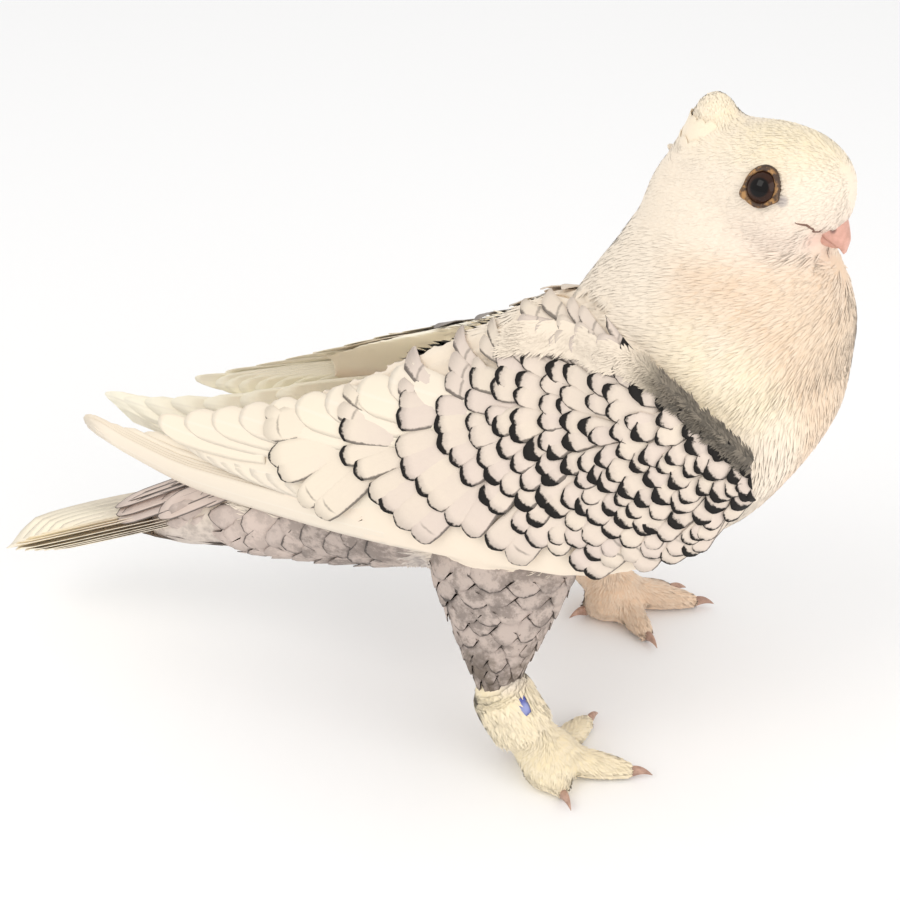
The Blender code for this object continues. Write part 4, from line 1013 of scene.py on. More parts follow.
def laced_paint(place, x, y, z):
    """Cream pink with a ragged black band at the tip and a thin dark line along the lower edge; a dark grey
    patch between the wings, partly painted shade.
    """
    wobble = (place.noise(0.8, 3, 0.65) - 0.5) * 1.9
    tone, band, edge = place.value("tone"), place.value("band"), place.value("edge")
    ground = (tone * 0.6 + place.noise(0.12, 2) * 0.5).tint((0.80, 0.70, 0.57), (0.71, 0.60, 0.54))
    ground = ((place.noise(0.5, 4, 0.7) - 0.35) * 0.35).tint(ground, (0.58, 0.49, 0.45))
    ground = (x.fall(-72, -38) * 0.85).tint(ground, (0.86, 0.76, 0.62))
    tip = place.value("from_tip") + wobble
    shade = (tip - band).fall(0, 2) * band.step(0.3, 1) * 0.28
    low = (place.value("from_low") + wobble * 0.4 - edge).fall(-0.15, 0.2)
    inner = (place.value("from_tip") + wobble * 0.4).near(4.6, 0.55) * band.fall(0.25, 0.4)
    inner = inner * 0.55 * place.value("from_shaft").near(0.6, 2.4)
    colour = (low * 0.8).most(inner).tint(shade.tint(ground, (0.32, 0.27, 0.25)), (0.09, 0.075, 0.065))
    # Painted shade: a dark grey patch on the far wing's top between the wings, partly the grey of the far
    # wing's inner feathers.
    patch = y.step(-4, 3) * x.window(-52, -46, -30, -22) * z.step(94, 99)
    colour = (patch * 0.9).tint(colour, (0.30, 0.27, 0.25))
    dark = (tip - band).fall(-0.3, 0.3) * band.step(0.05, 0.3)
    return dark.tint(colour, SOOT), barb_height(place)


laced_finish = finish_of("laced feather", laced_paint, 0.65, 0.25, specular_ior_level=0.25)
print("finish:", laced_finish.name)

# %% [markdown]
# ## Rows of coverts
#
# The tips of one row lie on a curve that runs down from the wing's upper edge and then swings forward,
# and the rows draw closer together and their feathers grow smaller towards the shoulder. The feathers
# of a row point square to that curve: down at the front, to the rear behind, as on the real wing. Each
# row has its reach from the wrist, its feathers' length and half width, the place across at which it
# reaches furthest, and its band of black.

# %% Where the coverts lie
ROWS = ((127, 34, 4, 5, 0.34), (104, 32, 3.6, 8, 0.95), (89, 27, 3.5, 10, 1.05),
        (77.5, 22, 3.3, 12, 1.1), (70, 19, 3.1, 12.5, 1.05), (63.5, 17, 3, 13, 1.1),
        (57.5, 15, 2.9, 14, 1.2), (52, 14, 2.8, 15, 1.25), (46, 13, 2.8, 15, 1.3),
        (40, 12.5, 2.9, 15.5, 1.4), (34, 12, 3, 16, 1.4), (28, 11.5, 3, 16, 1.4),
        (22, 11, 2.9, 15, 1.4), (16.5, 10.5, 2.8, 14, 1.4), (11, 9.5, 2.6, 12, 1.5),
        (6.5, 8.5, 2.4, 10, 1.6))


def row_curve(reach, middle, t):
    """How far from the wrist a row's tips lie at each place across the wing."""
    low = 0.085 * np.maximum(middle - t, 0) ** 1.7
    high = 0.02 * np.maximum(t - middle, 0) ** 1.9
    return reach - low - high


def covert_places(random):
    """For all coverts, row by row from the rear: s and t of the tip, heading, length, half width, band
    and number of the row. Steps and widths are true lengths on the bent sheet."""
    lots = []
    for number, (reach, length, half, middle, band) in enumerate(ROWS):
        t = np.linspace(40, -30, 700)
        s = row_curve(reach, middle, t)
        line = on_wing(s, t, 0, RIGHT)
        run = np.concatenate([[0], np.cumsum(np.linalg.norm(np.diff(line, axis=0), axis=1))])
        stretch = np.gradient(run) / np.maximum(np.hypot(np.gradient(s), np.gradient(t)), 1e-6)
        places = np.arange(half * (number % 2), run[-1], half * 1.66)
        s, t, stretch = (np.interp(places, run, values) for values in (s, t, stretch))
        heading = 0.82 * np.arctan(np.clip(np.gradient(row_curve(reach, middle, t), t), -0.4, 4))
        size = 0.84 + 0.32 * random.random(len(s))
        lots.append(np.stack([s, t, heading, length * size, half * size / np.clip(stretch, 1, 2.5),
                              np.full(len(s), band), np.full(len(s), number)], axis=1))
    every = np.vstack(lots)
    s, t = every[:, 0], every[:, 1]
    bottom = through(WING_LOW, s) + 1 + 2.2 * ease(s, 14, 40)
    every = every[(s > 1) & (t < through(WING_TOP, s) - 0.5) & (t > bottom)]
    every[:, :2] += (random.random((len(every), 2)) - 0.5) * 2.3
    every[:, 2] += (random.random(len(every)) - 0.5) * 0.45
    return every


def covert_lay(side, s, t, lift):
    """A place on the wing, held back from its front and upper edges."""
    s = np.maximum(s, 0.5)
    return on_wing(s, np.minimum(t, through(WING_TOP, s) + 0.2), lift, side)


random = chance(7)
coverts = covert_places(random)
s, t, headings, lengths, halves, bands, rows = coverts.T
thick = 0.4 + 1.2 * random.random(len(coverts))
messy = 1 - ease(np.hypot((s - 56) / 16, (t - 2) / 13), 0.4, 1.2)
plain = ease(-t, 9, 17) * 0.75
bands = bands * thick * (1 + 0.75 * messy) * (1 - plain * (random.random(len(coverts)) < 0.6))
edges = 0.22 + 0.22 * random.random(len(coverts)) + 0.45 * messy + 0.2 * ease(s, 60, 85)
tip_shape = 0.45 + 0.5 * ease(t, -12, 6) * ease(-s, -70, -40) + 0.4 * ease(s, 110, 120)
lift = np.stack([-0.9 + 0.01 * rows, 0.35 + 0.02 * rows], axis=1)
below = through(WING_TOP, s) - t
front_edge = (1 + 0.5 * (below < 7)) * (1 - ease(s, 32, 36) * (below < 7))
shown = {RIGHT: bands * np.where(s < 46, front_edge, ease(below, 5.5, 8)),
         LEFT: bands * ease(below, 7, 11)}
for side in SIDES:
    wing = leaves(f"coverts_{ENDINGS[side]}", partial(covert_lay, side), coverts[:, :2], headings, lengths,
                  halves, lift, laced_finish, {"band": shown[side], "edge": edges}, 8,
                  round_tip=tip_shape, flip=side == RIGHT)
    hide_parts(f"wing_{ENDINGS[side]}")

# %% [markdown]
# ## Flight feathers
#
# Behind the coverts the wing is plain: the ends of the secondaries lie along the upper edge, with the
# short tertials on them, and the long primaries are stacked below and reach to the tip. They are the
# same leaves, longer, with hardly any marking.

# %% Secondaries and primaries
def plain_paint(place, x, y, z):
    """Cream, with a pale shaft and faint shade near each edge; painted light makes the far wing paler, and
    painted shade puts a dark grey patch between the wings, partly the grey of the far wing's inner feathers.
    """
    ground = (place.value("tone") * 0.5).tint((0.88, 0.78, 0.63), (0.83, 0.73, 0.62))
    # Painted light: the far wing's feathers lie in the near wing's shade and are painted paler and warmer.
    ground = y.step(-4, 2).tint(ground, (1, 0.95, 0.80))
    colour = (edge_gap(place).fall(0, 0.8) * 0.09).tint(ground, (0.55, 0.45, 0.38))
    colour = (place.value("from_shaft").fall(0.1, 0.5) * 0.25).tint(colour, (0.90, 0.84, 0.74))
    # Painted shade: the same dark grey patch between the wings, partly the grey of the far wing's inner
    # feathers.
    grey = y.step(-4, 3) * x.window(-52, -46, -30, -24) * z.step(96, 101)
    return (grey * 0.9).tint(colour, (0.34, 0.31, 0.30)), barb_height(place)


plain_finish = finish_of("plain feather", plain_paint, 0.5, 0.2, sheen_weight=0.1)


FLIGHTS = 9


def flight_places():
    """For each kind: tips (with t from the lower edge up), headings, lengths, half widths and the lifts at
    root and tip. The longest primary lies outermost along the lower edge."""
    def table(*columns):
        return np.stack(np.broadcast_arrays(*columns), axis=1)

    number = np.arange(FLIGHTS)
    back, share = FLIGHTS - 1 - number, np.linspace(0, 1, FLIGHTS)
    tip = 156 - 34 * share ** 1.3
    top = through(WING_TOP, tip) - through(WING_LOW, tip)
    second = table(tip, top - 5.5 - 13 * share, 0.05, 64, 5.4, -1.2 - 0.10 * number, -0.75 - 0.06 * number)
    tip = 141 + 45.5 * np.sin(share * math.pi / 2 * 1.12)
    above = 5.2 + 1.25 * back * (1 - 0.6 * ease(tip, 165, 187))
    first = table(tip, above, 0, tip - 34, 4.9, -1.9 - 0.42 * back, -1.1 - 0.34 * back)
    tip = np.linspace(92, 161, FLIGHTS)
    top = through(WING_TOP, tip) - through(WING_LOW, tip)
    third = table(tip, top - 2.4, -0.03, 34, 3.6, -0.2 - 0.04 * number, 0.25 - 0.04 * number)
    return {"secondaries": second, "primaries": first, "tertials": third}


def flight_lay(side, s, t, lift):
    """A place on the wing whose place across counts from the lower edge, so that leaves follow that edge."""
    return on_wing(s, t + through(WING_LOW, s), lift, side, EVEN_TILT)


for side in SIDES:
    for seed, (name, table) in enumerate(flight_places().items(), 11):
        heading, length, half = table[:, 2:5].T
        long = leaves(f"{name}_{ENDINGS[side]}", partial(flight_lay, side), table[:, :2], heading, length,
                      half, table[:, 5:], plain_finish, {}, seed, rows=21, round_tip=1.1, thickness=0.16,
                      dome=0.04, flip=side == RIGHT)

# %% [markdown]
# ## Tail
#
# Twelve feathers lie in a low roof, each pair a little lower and shorter than the one above, and
# coverts lie over its root above and below. These leaves lie on no sheet: each has its own root, tip
# and slope, and bends a little along its length.

# %% Free leaves and the tail
def free_leaves(name, roots, tips, sides, half, material, values, seed, sag, **shape):
    """Leaves that each have a sheet of their own, from lists of roots and tips: s back from the tip along
    the leaf, t to its side, lift square to both, and a sag of sag*length*(share^2 - share) along it."""
    roots, tips, sides = (np.asarray(spots, float) for spots in (roots, tips, sides))
    count, length = len(roots), np.linalg.norm(tips - roots, axis=1)
    ahead, aside = unit(tips - roots), unit(sides)
    size, end, ahead, aside, above = (part[:, None, None] for part in (
        length, tips, ahead, aside, unit(np.cross(ahead, aside))))

    def lay(s, t, lift):
        share = 1 + s / size
        bend = sag * size * (share * share - share)
        return end + ahead * s[..., None] + aside * t[..., None] + above * (lift + bend)[..., None]

    zeros = np.zeros((count, 2))
    half = np.broadcast_to(np.asarray(half, float), (count,))
    return leaves(name, lay, zeros, zeros[:, 0], length, half, zeros, material, values, seed, **shape)


TAIL_ROOT, TAIL_END = np.array((-104, 0, 54.5)), np.array((-172.5, 0, 27.8))


def tail_paint(place, x, y, z):
    """Cream blades with a shaft line; the lower feathers are streaked with dark grey near the root."""
    ground = (place.value("tone") * 0.5).tint((1, 0.91, 0.73), (0.96, 0.85, 0.70))
    ground = (place.value("from_tip").step(16, 60) * 0.5).tint(ground, (0.74, 0.60, 0.52))
    streak = (edge_gap(place) + (place.noise(0.3, 3) - 0.5) * 1.6).near(0.5, 0.9)
    streak = streak * (0.35 + place.value("pair").step(0, 0.5) * 0.6) * place.value("from_tip").step(9, 30)
    colour = (streak * 0.6).tint(ground, (0.22, 0.18, 0.15))
    shaft = place.value("from_shaft").fall(0.1, 0.45)
    return (shaft * 0.35).tint(colour, (0.60, 0.48, 0.36)), barb_height(place)


tail_finish = finish_of("tail feather", tail_paint, 0.5, 0.2, sheen_weight=0.1)
roots, tips, sides, halves, pairs = [], [], [], [], []
for pair in range(6):
    for side in SIDES:
        out = 0.5 + 3.7 * (pair / 5) ** 0.7
        lower = 0.30 * (side == LEFT)
        roots.append(TAIL_ROOT + (0, side * out, -1.8 - 0.5 * pair - lower))
        tips.append(TAIL_END + 0.05 * pair * (TAIL_ROOT - TAIL_END)
                    + (0.7 * (side == LEFT), side * out * 1.1, -1.4 - 0.45 * pair - 0.6 * lower))
        sides.append((0, 1, -0.2 * side * min(1, out / 3)))
        halves.append(8.8 - 0.55 * pair)
        pairs.append(pair / 5)
tail = free_leaves("tail_feathers", roots, tips, sides, halves, tail_finish, {"pair": np.array(pairs)},
                   31, 0.05, rows=21, columns=11, round_tip=0.8, dome=0.34)
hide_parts("tail")


def covert_paint(place, x, y, z):
    """Pink grey with a dark edge, and nearly black mottling on the underside and the thighs."""
    under = place.value("under")
    wobble = (place.noise(0.6, 3, 0.65) - 0.5) * 2.2
    ground = (place.value("tone") * 0.8).tint((0.74, 0.61, 0.54), (0.62, 0.52, 0.47))
    ground = (under * 0.75).tint(ground, (0.44, 0.37, 0.33))
    mottle = place.noise(0.14, 5, 0.75).step(0.44, 0.60) * under
    ground = (mottle * 0.75).tint(ground, (0.17, 0.14, 0.125))
    rim = place.value("from_tip").least(edge_gap(place)) + wobble * under
    dark = (rim - place.value("band")).fall(-0.2, 0.35)
    colour = (dark * 0.85).tint(ground, (0.07, 0.06, 0.055))
    end = z.fall(33, 48) * z.step(26, 28) * place.noise(0.2, 4, 0.65).step(0.35, 0.6)
    return (end * 0.85).tint(colour, (0.13, 0.10, 0.075)), barb_height(place)


tail_covert_finish = finish_of("tail covert", covert_paint, 0.65, 0.2, specular_ior_level=0.3)
random = chance(33)
TAIL_SLOPE = 0.47
spots = [(root, tip + fan * abs(step), gap * step, lift)
         for root, tip, fan, gap, lift, reach in ((-96, -137, 1.6, 3, 0, 2), (-92, -124, 1.4, 3.2, 0.9, 3),
                                                  (-86, -111, 1.2, 3.4, 1.6, 3))
         for step in range(-reach, reach + 1)]
roots = [(a, 0.9 * y, 64.5 + lift - 0.26 * abs(y) + 0.55 * (96 + a)) for a, b, y, lift in spots]
tips = [(b, y, 45.2 + TAIL_SLOPE * (b + 134) + lift * 0.7 - 0.26 * abs(y)) for a, b, y, lift in spots]
sides = [(0, 1, -0.07 * y) for a, b, y, lift in spots]
free_leaves("tail_coverts_upper", roots, tips, sides, 4.6, tail_covert_finish,
            {"band": np.full(len(spots), 0.30), "under": np.full(len(spots), 0.05)}, 34, 0.03)
spots = [(-82 - 7 * row, -104 - 8 * row, (3.4 - 0.3 * row) * (step + 0.5 * (row % 2)), row)
         for row in range(4) for step in range(-2, 3)]
roots = [(a, y, 40 - 0.6 * row + 0.045 * y * y) for a, b, y, row in spots]
tips = [(b, 1.05 * y, 40.5 - 0.6 * row + 0.05 * y * y) for a, b, y, row in spots]
sides = [(0, 1, 0.09 * y) for a, b, y, row in spots]
free_leaves("tail_coverts_lower", roots, tips, sides, 4.4, tail_covert_finish,
            {"band": 0.3 + 0.8 * random.random(len(spots)), "under": np.full(len(spots), 0.3)}, 35, -0.02)

# %% [markdown]
# ## Flanks and thighs
#
# Under the tail and on the thighs the feathers are grey scales with dark edges. They lie in staggered
# rows on the trunk and on the thigh, told by a place along and a place round.

# %% Grey scales
TRUNK_RADIUS, LEG_RADIUS = 14, 11
TRUNK_SINK, THIGH_SINK = 0.6, 0.5


def on_trunk(s, t, lift):
    """A place of the trunk: s back along it, t round it as the angle times a radius."""
    low, high, half = through(TORSO, -s)
    angle = t / TRUNK_RADIUS
    across = (half - TRUNK_SINK + lift) * power(np.cos(angle), 2 / TRUNK_ROUND)
    upward = (low + high) / 2 + ((high - low) / 2 - TRUNK_SINK + lift) * power(np.sin(angle), 2 / TRUNK_ROUND)
    return np.stack(np.broadcast_arrays(-s, across, upward), axis=-1)


def on_thigh(side, s, t, lift):
    """A place of the thigh: s down from its top, t round it as the angle times a radius."""
    top, hock = np.array(THIGH_TOP[side]), np.array(HOCK[side])
    size = np.linalg.norm(hock - top)
    axis = (hock - top) / size
    first = unit(np.cross(axis, (0, 1, 0)))
    second = np.cross(axis, first)
    depth = through(THIGH_DEPTH, s / size) - THIGH_SINK + lift
    width = through(THIGH_WIDTH, s / size) - THIGH_SINK + lift
    angle = t / LEG_RADIUS
    return (top + axis * s[..., None] + first * (depth * np.cos(angle))[..., None]
            + second * (width * np.sin(angle))[..., None])


def scale_rows(first_row, last_row, step, start, end, gap, radius, random):
    """Staggered tips: rows along, and places round from a start to an end angle."""
    spots = np.array([(row, place + gap / 2 * (number % 2))
                      for number, row in enumerate(np.arange(first_row, last_row, step))
                      for place in np.arange(start * radius, end * radius, gap)])
    return spots + (random.random(spots.shape) - 0.5) * 2.4


random = chance(37)
lots = [("scales_belly", on_trunk, scale_rows(56, 118, 6, -3.2, 0.15, 6, TRUNK_RADIUS, random), 15, 4.2,
         "torso")]
for side in SIDES:
    spots = scale_rows(9, 45, 4.6, -3.14, 3, 5.2, LEG_RADIUS, random)
    lots.append((f"scales_thigh_{ENDINGS[side]}", partial(on_thigh, side), spots, 11, 3.6,
                 f"thigh_{ENDINGS[side]}"))
for name, lay, spots, length, half, slot in lots:
    ones = np.ones(len(spots))
    band = np.where(random.random(len(spots)) < 0.55, -0.35, 0.5 * random.random(len(spots)))
    scales = leaves(name, lay, spots, 0 * ones, length * ones, half * ones, ones[:, None] * (-0.7, 0.45),
                    tail_covert_finish, {"band": band, "under": 0.9 - 0.55 * ease(spots[:, 0], 72, 90)},
                    38, rows=7, columns=5, round_tip=0.9)

# %% [markdown]
# ## Crest
#
# The crest is built up feather by feather, in two tiers that lean on one another from the nape to one
# small rounded peak.

# %% Crest feathers
def crest_paint(place, x, y, z):
    """The body's cream, a little warmer, each feather slightly its own."""
    colour = body_paint(place, x, y, z)
    return (place.value("tone") * 0.25).tint(colour, (0.90, 0.83, 0.66)), barb_height(place)


crest_finish = finish_of("crest feather", crest_paint, 0.6, 0.25, sheen_weight=0.15)
TIERS = ((0.5, 175, 9, 10), (0, 170.5, 9, 8))
CREST_RADIUS, CREST_REACH, CREST_SINK = 6, 2.1, 0.2


def on_crest(s, t, lift):
    """A place of the crest's lump: s is the height, t the angle from behind times a radius."""
    middle, depth, half = through(CREST, s)
    angle = math.pi + t / CREST_RADIUS
    y = (half - CREST_SINK + lift) * np.sin(angle)
    return on_head(middle + (depth - CREST_SINK + lift) * np.cos(angle), y, s)


spots, lengths = zip(*(((height, CREST_RADIUS * CREST_REACH * (2 * (number + shift) / count - 1)), length)
                       for shift, height, length, count in TIERS for number in range(count)))
ones = np.ones(len(spots))
crest = leaves("crest", on_crest, np.array(spots), 0 * ones, np.array(lengths), 2.4 * ones,
               ones[:, None] * (-0.6, 0.05), crest_finish, {}, 36, columns=5, round_tip=0.8, thickness=0.14)
nape = [(0, 0), (2.2, 0.8), (-2.2, 0.8), (1, -2.2), (-1.2, -2.4)]
roots = [on_head(-13.5, y, 161 + up) for y, up in nape]
tips = [on_head(-19 + abs(y) * 0.5, y * 1.15, 164.6 + up) for y, up in nape]
sideways = [on_head(0, 1, 0) - on_head(0, 0, 0)] * len(nape)
tuft = free_leaves("nape_tuft", roots, tips, sideways, 1.8, crest_finish, {}, 39, 0.1, rows=7, columns=5,
                   round_tip=1.2)

# %% [markdown]
# ## Eyes, lids and beak
#
# The eye is a dark glossy ball. Round it the bare lids stand a little proud, orange brown and wrinkled.
# The beak is short, stout and pink, its upper half hooked over the lower one, with a nostril on each
# side under a soft swelling.

# %% Eyes and lids
def eye_paint(place, x, y, z):
    """Nearly black, with a brown iris whose streaks run out from the pupil."""
    iris = place.value("from_axis").step(1.9, 2.5) * (0.5 + place.noise(1.2, 3) * 0.9)
    return (iris * 0.7).tint((0.004, 0.003, 0.003), (0.050, 0.018, 0.009)), None


def lid_paint(place, x, y, z):
    """Orange brown skin with dark creases, darkest at both rims."""
    out = place.value("from_axis")
    patch = place.noise(0.4, 3, 0.7).step(0.42, 0.60)
    colour = patch.tint((0.06, 0.03, 0.016), (0.42, 0.22, 0.075))
    rim = out.fall(3.4, 3.8).most(out.step(4.35, 4.6))
    return (rim * 0.9).tint(colour, (0.045, 0.024, 0.014)), place.noise(1, 4, 0.7)


eye_finish = finish_of("eye", eye_paint, 0.08, specular_ior_level=0.22)
lid_finish = finish_of("eyelid", lid_paint, 0.5, 0.4, 0.0002)


def crease_paint(place, x, y, z):
    """Dark brown, as in the shade of a fold."""
    return place.noise(0.8, 2).tint((0.14, 0.07, 0.05), (0.26, 0.15, 0.11)), None


crease_finish = finish_of("crease", crease_paint, 0.7)
EYE_RADIUS, EYE_SINK = 4.4, 2.75
LID_RADIUS, LID_GIRTH, LID_RISE, LID_SIZE = 4.02, 0.62, 0.75, (0.9, 0.98)
LID_CORNERS = ((205, 17, 1), (335, 15, 0.6))
around, about = circle(72)[:, None], circle(14)
wrinkle = 0.07 * np.sin(around * 11 + 2 * np.sin(around * 3)) * np.sin(about)
corner = sum(size * np.exp(-((np.degrees(around) - angle) / width) ** 2)
             for angle, width, size in LID_CORNERS)
radius = LID_RADIUS + (LID_GIRTH + wrinkle) * np.cos(about) + corner * 0.7 * (1 + np.cos(about))
lid_x = EYE_X + LID_SIZE[0] * radius * np.cos(around)
lid_z = EYE_Z + radius * np.sin(around) * LID_SIZE[1]
lid_y = face_side(lid_x, lid_z) - 0.15 + (LID_RISE + wrinkle) * np.sin(about) - 0.15 * corner
lid_axis = np.broadcast_to(LID_RADIUS + LID_GIRTH * np.cos(about), lid_x.shape).ravel()
slope_x = (face_side(EYE_X + 3, EYE_Z) - face_side(EYE_X - 3, EYE_Z)) / 6
slope_z = (face_side(EYE_X, EYE_Z + 3) - face_side(EYE_X, EYE_Z - 3)) / 6
axis = unit(np.array((-slope_x, 1, -slope_z)))
ball = ball_rings((0, 0, 0), (EYE_RADIUS,) * 3, 32, 48)
from_axis = EYE_RADIUS * np.sqrt(1 - np.clip((ball @ axis) / EYE_RADIUS, -1, 1) ** 2)
centre = np.array((EYE_X, face_side(EYE_X, EYE_Z), EYE_Z)) - EYE_SINK * axis
ball_x, ball_y, ball_z = np.moveaxis(centre + ball, -1, 0)
for side, line in zip(SIDES, np.split(mouth_line, 2)):
    points, faces = loft(on_head(ball_x, side * ball_y, ball_z))
    eye = outward(build(f"eyeball_{ENDINGS[side]}", points, faces, eye_finish, None,
                        {"from_axis": np.concatenate([from_axis.ravel(), [EYE_RADIUS] * 2])}))
    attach(eye, "root")
    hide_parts(f"eye_{ENDINGS[side]}")
    points = on_head(lid_x, side * lid_y, lid_z).reshape(-1, 3)
    faces = [band_faces(*lid_x.shape, closed=True)]
    lid = outward(build(f"eyelid_{ENDINGS[side]}", points, faces, lid_finish, None, {"from_axis": lid_axis}))
    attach(lid, "root")
    girth = 0.32 * np.sin(np.linspace(0.25, np.pi - 0.5, len(line)))
    points, faces = loft(tube_rings(line, girth, girth, 8))
    crease = outward(build(f"mouth_line_{ENDINGS[side]}", points, faces, crease_finish))
    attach(crease, "root")
print("eyes, lids and the line of the mouth made")

# %% Beak
BEAK_FALL = math.radians(42)
UPPER_BEAK = ((1, 3.2, 5), (4, 4.8, 5), (7, 4.3, 4.4), (9.4, 3.1, 3.4), (11.4, 1.8, 2), (12.8, 0.5, 0.6))
LOWER_BEAK = ((1.7, 2.6, 4.5), (4, 3.3, 4.6), (7.5, 3.2, 3.9), (9.8, 2.1, 2.6), (11.2, 0.7, 1))
NOSTRIL = (7, 2.7, 3.6)
CERE = (4.6, 4)
BEAK_GAP = 0.12


def beak_place(along, up, across):
    """A place along the beak's axis from the corner of the mouth, above it and to one side."""
    x = GAPE[0] + along * math.cos(BEAK_FALL) + up * math.sin(BEAK_FALL)
    z = GAPE[1] - along * math.sin(BEAK_FALL) + up * math.cos(BEAK_FALL)
    return on_head(x, across, z)


def half_beak(stations, upward):
    """Rings of half a beak: flat along the mouth, arched above or below it, the upper one hooked, with
    a shallow pit for each nostril and a swelling behind it."""
    places = end_spaced(stations[0][0], stations[-1][0], 36)[:, None]
    height, half = through(stations, places)
    angle = np.concatenate([np.linspace(0, np.pi, 25), np.linspace(np.pi, 0, 13)[1:-1]])
    arch_y = half * power(np.cos(angle), 0.9)
    arch_h = height * power(np.sin(angle), 0.9) * np.repeat((1, 0), (25, 11))
    if not upward:
        return beak_place(places, -(BEAK_GAP + arch_h), arch_y)
    hook = 1.3 * np.clip((places - LOWER_BEAK[-1][0]) / 2, 0, 1)
    pit = np.exp(-((places - NOSTRIL[0]) / 1.2) ** 2 - ((arch_h - NOSTRIL[1]) / 0.5) ** 2)
    swell = np.exp(-((places - CERE[0]) / 1.6) ** 2 - ((arch_h - CERE[1]) / 1.5) ** 2)
    arch_y = arch_y * (1 - 0.14 * pit + 0.13 * swell)
    return beak_place(places, BEAK_GAP + arch_h - hook + 0.35 * swell, arch_y)


def beak_paint(place, x, y, z):
    """Pink horn, streaked and stained browner in patches, with a dark nostril that is painted shade."""
    streak = place.noise(0.5, 4, 0.6)
    colour = streak.step(0.3, 0.7).tint((0.72, 0.40, 0.32), (0.60, 0.32, 0.25))
    stain = place.noise(0.25, 3, 0.6).step(0.48, 0.70)
    colour = (stain * 0.5).tint(colour, (0.50, 0.27, 0.20))
    for side in SIDES:
        # Painted shade: each nostril's pit is darkened to nearly black.
        dark = place.gap(beak_place(NOSTRIL[0], NOSTRIL[1], side * NOSTRIL[2])).fall(0.4, 1.1)
        colour = (dark * 0.8).tint(colour, (0.12, 0.05, 0.04))
    return colour, streak


beak_finish = finish_of("beak", beak_paint, 0.38, 0.15)
for name, stations, upward in (("upper", UPPER_BEAK, True), ("lower", LOWER_BEAK, False)):
    beak = outward(build(f"beak_{name}_half", *loft(half_beak(stations, upward)), beak_finish))
    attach(beak, "root")
    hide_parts(f"beak_{name}")
print("beak made")

# %% [markdown]
# ## Claws and leg ring
#
# Each toe ends in a short bent claw of its own. The right leg wears a plain closed ring, which the
# feathers of the boot half cover.

# %% Claws
def claw_paint(place, x, y, z):
    """Pink brown horn, mottled darker."""
    tone = place.noise(0.7, 3).step(0.3, 0.7)
    return tone.tint((0.52, 0.33, 0.25), (0.34, 0.20, 0.15)), place.noise(0.9, 3)


claw_finish = finish_of("claw", claw_paint, 0.35, 0.15)
CLAW_SINK, CLAW_RADIUS, CLAW_WIDTH = 0.8, 1.55, 0.7
for side in SIDES:
    for toe, length, heading, _ in TOES[side]:
        forward, across = compass(heading)
        share = np.linspace(0, 1, 16)
        radius = CLAW_RADIUS * (1 - share ** 1.5) + 0.12
        along = length - CLAW_LENGTH - CLAW_SINK + share * (CLAW_LENGTH + CLAW_SINK)
        height = 2 + 0.9 * np.sin(share * np.pi * 0.8) - 1.2 * share ** 2
        middle = np.array(FOOT[side]) + forward * along[:, None] + UP * height[:, None]
        rings = cut_flat(rings_about(middle, CLAW_WIDTH * radius, radius, across, UP, 16), 0.1)
        name = f"claw_{toe}_{ENDINGS[side]}"
        claw = outward(build(f"horn_{toe}_{ENDINGS[side]}", *loft(rings), claw_finish))
        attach(claw, "root")
        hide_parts(name)
print("claws made")

# %% Leg ring
def ring_paint(place, x, y, z):
    """Blue violet, with a paler middle and dark speckles towards its rims."""
    pale = (place.value("along") - 0.5).size().fall(0.05, 0.42)
    speckle = place.noise(1.4, 4, 0.7).step(0.5, 0.62) * (1 - pale)
    colour = (pale * 0.6).tint((0.07, 0.09, 0.40), (0.45, 0.50, 0.80))
    return (speckle * 0.7).tint(colour, (0.02, 0.03, 0.16)), place.noise(0.8, 2)


ring_finish = finish_of("leg ring", ring_paint, 0.3, 0.1, coat_weight=0.3)
RING_PLACE, RING_LENGTH, RING_RADIUS = 0.33, 0.26, 7.6
section = circle(20)
profile_r = RING_RADIUS + 0.4 * power(np.cos(section), 0.5)
profile_s = RING_PLACE + 0.13 * power(np.sin(section), 0.5)
line = shank_path(RIGHT, profile_s)
axis = unit(shank_path(RIGHT, (RING_PLACE + 0.01,)) - shank_path(RIGHT, (RING_PLACE - 0.01,)))[0]
first = unit(np.cross(axis, (0, 1, 0)))
second = np.cross(axis, first)
angle = circle(72)[:, None, None]
points = line[None] + profile_r[None, :, None] * (np.cos(angle) * first + np.sin(angle) * second)
along = np.broadcast_to((profile_s - 0.2) / RING_LENGTH, points.shape[:2])
band = outward(build("ring_band", points.reshape(-1, 3), [band_faces(72, 20, closed=True)], ring_finish, None,
                     {"along": along.ravel()}))
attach(band, "root")
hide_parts("leg_ring")
share, angle = random.uniform(0.03, 0.54, 900), random.uniform(0, 2 * np.pi, 900)
window = np.hypot((angle - math.radians(36)) * 10, (share - 0.24) * 21)
share, angle = share[window > 3.5], angle[window > 3.5]
out = np.cos(angle)[:, None] * first + np.sin(angle)[:, None] * second
roots = shank_path(RIGHT, share) + (6.3 + 1.85 * ease(share, 0.03, 0.19))[:, None] * out
tuft_mesh("boot_right", roots, out, np.broadcast_to(axis, out.shape), 4.2, 2.2, 5, 0.25, coat_finish, 52,
          leg_map(roots), follow=False)
print("ring made")

# %% [markdown]
# ## Frill and fringes
#
# The frill is a seam down the front of the neck and breast where the feathers part and turn to both
# sides. At the wing's front edge small dark feathers run over into the white breast, and cream ones
# beside the neck, so that edge looks soft too.

# %% Frill and fringe
def neck_frame(height, angle):
    """Points of the neck, with their normals and the direction in which the angle grows."""
    here = neck_point(height, angle)
    round_way = unit(neck_point(height, angle + 0.02) - here)
    upward = unit(neck_point(height + 0.5, angle) - here)
    return here, unit(np.cross(round_way, upward)), round_way


def fringe_paint(place, x, y, z):
    """Cream beside the neck, and sooty tufts among the cream ones further down the wing's edge."""
    colour = body_paint(place, x, y, z)
    sooty = place.value("tone").tint((0.03, 0.026, 0.022), (0.19, 0.16, 0.125))
    return (x.step(10, 22) * 0.95).tint(colour, sooty), None


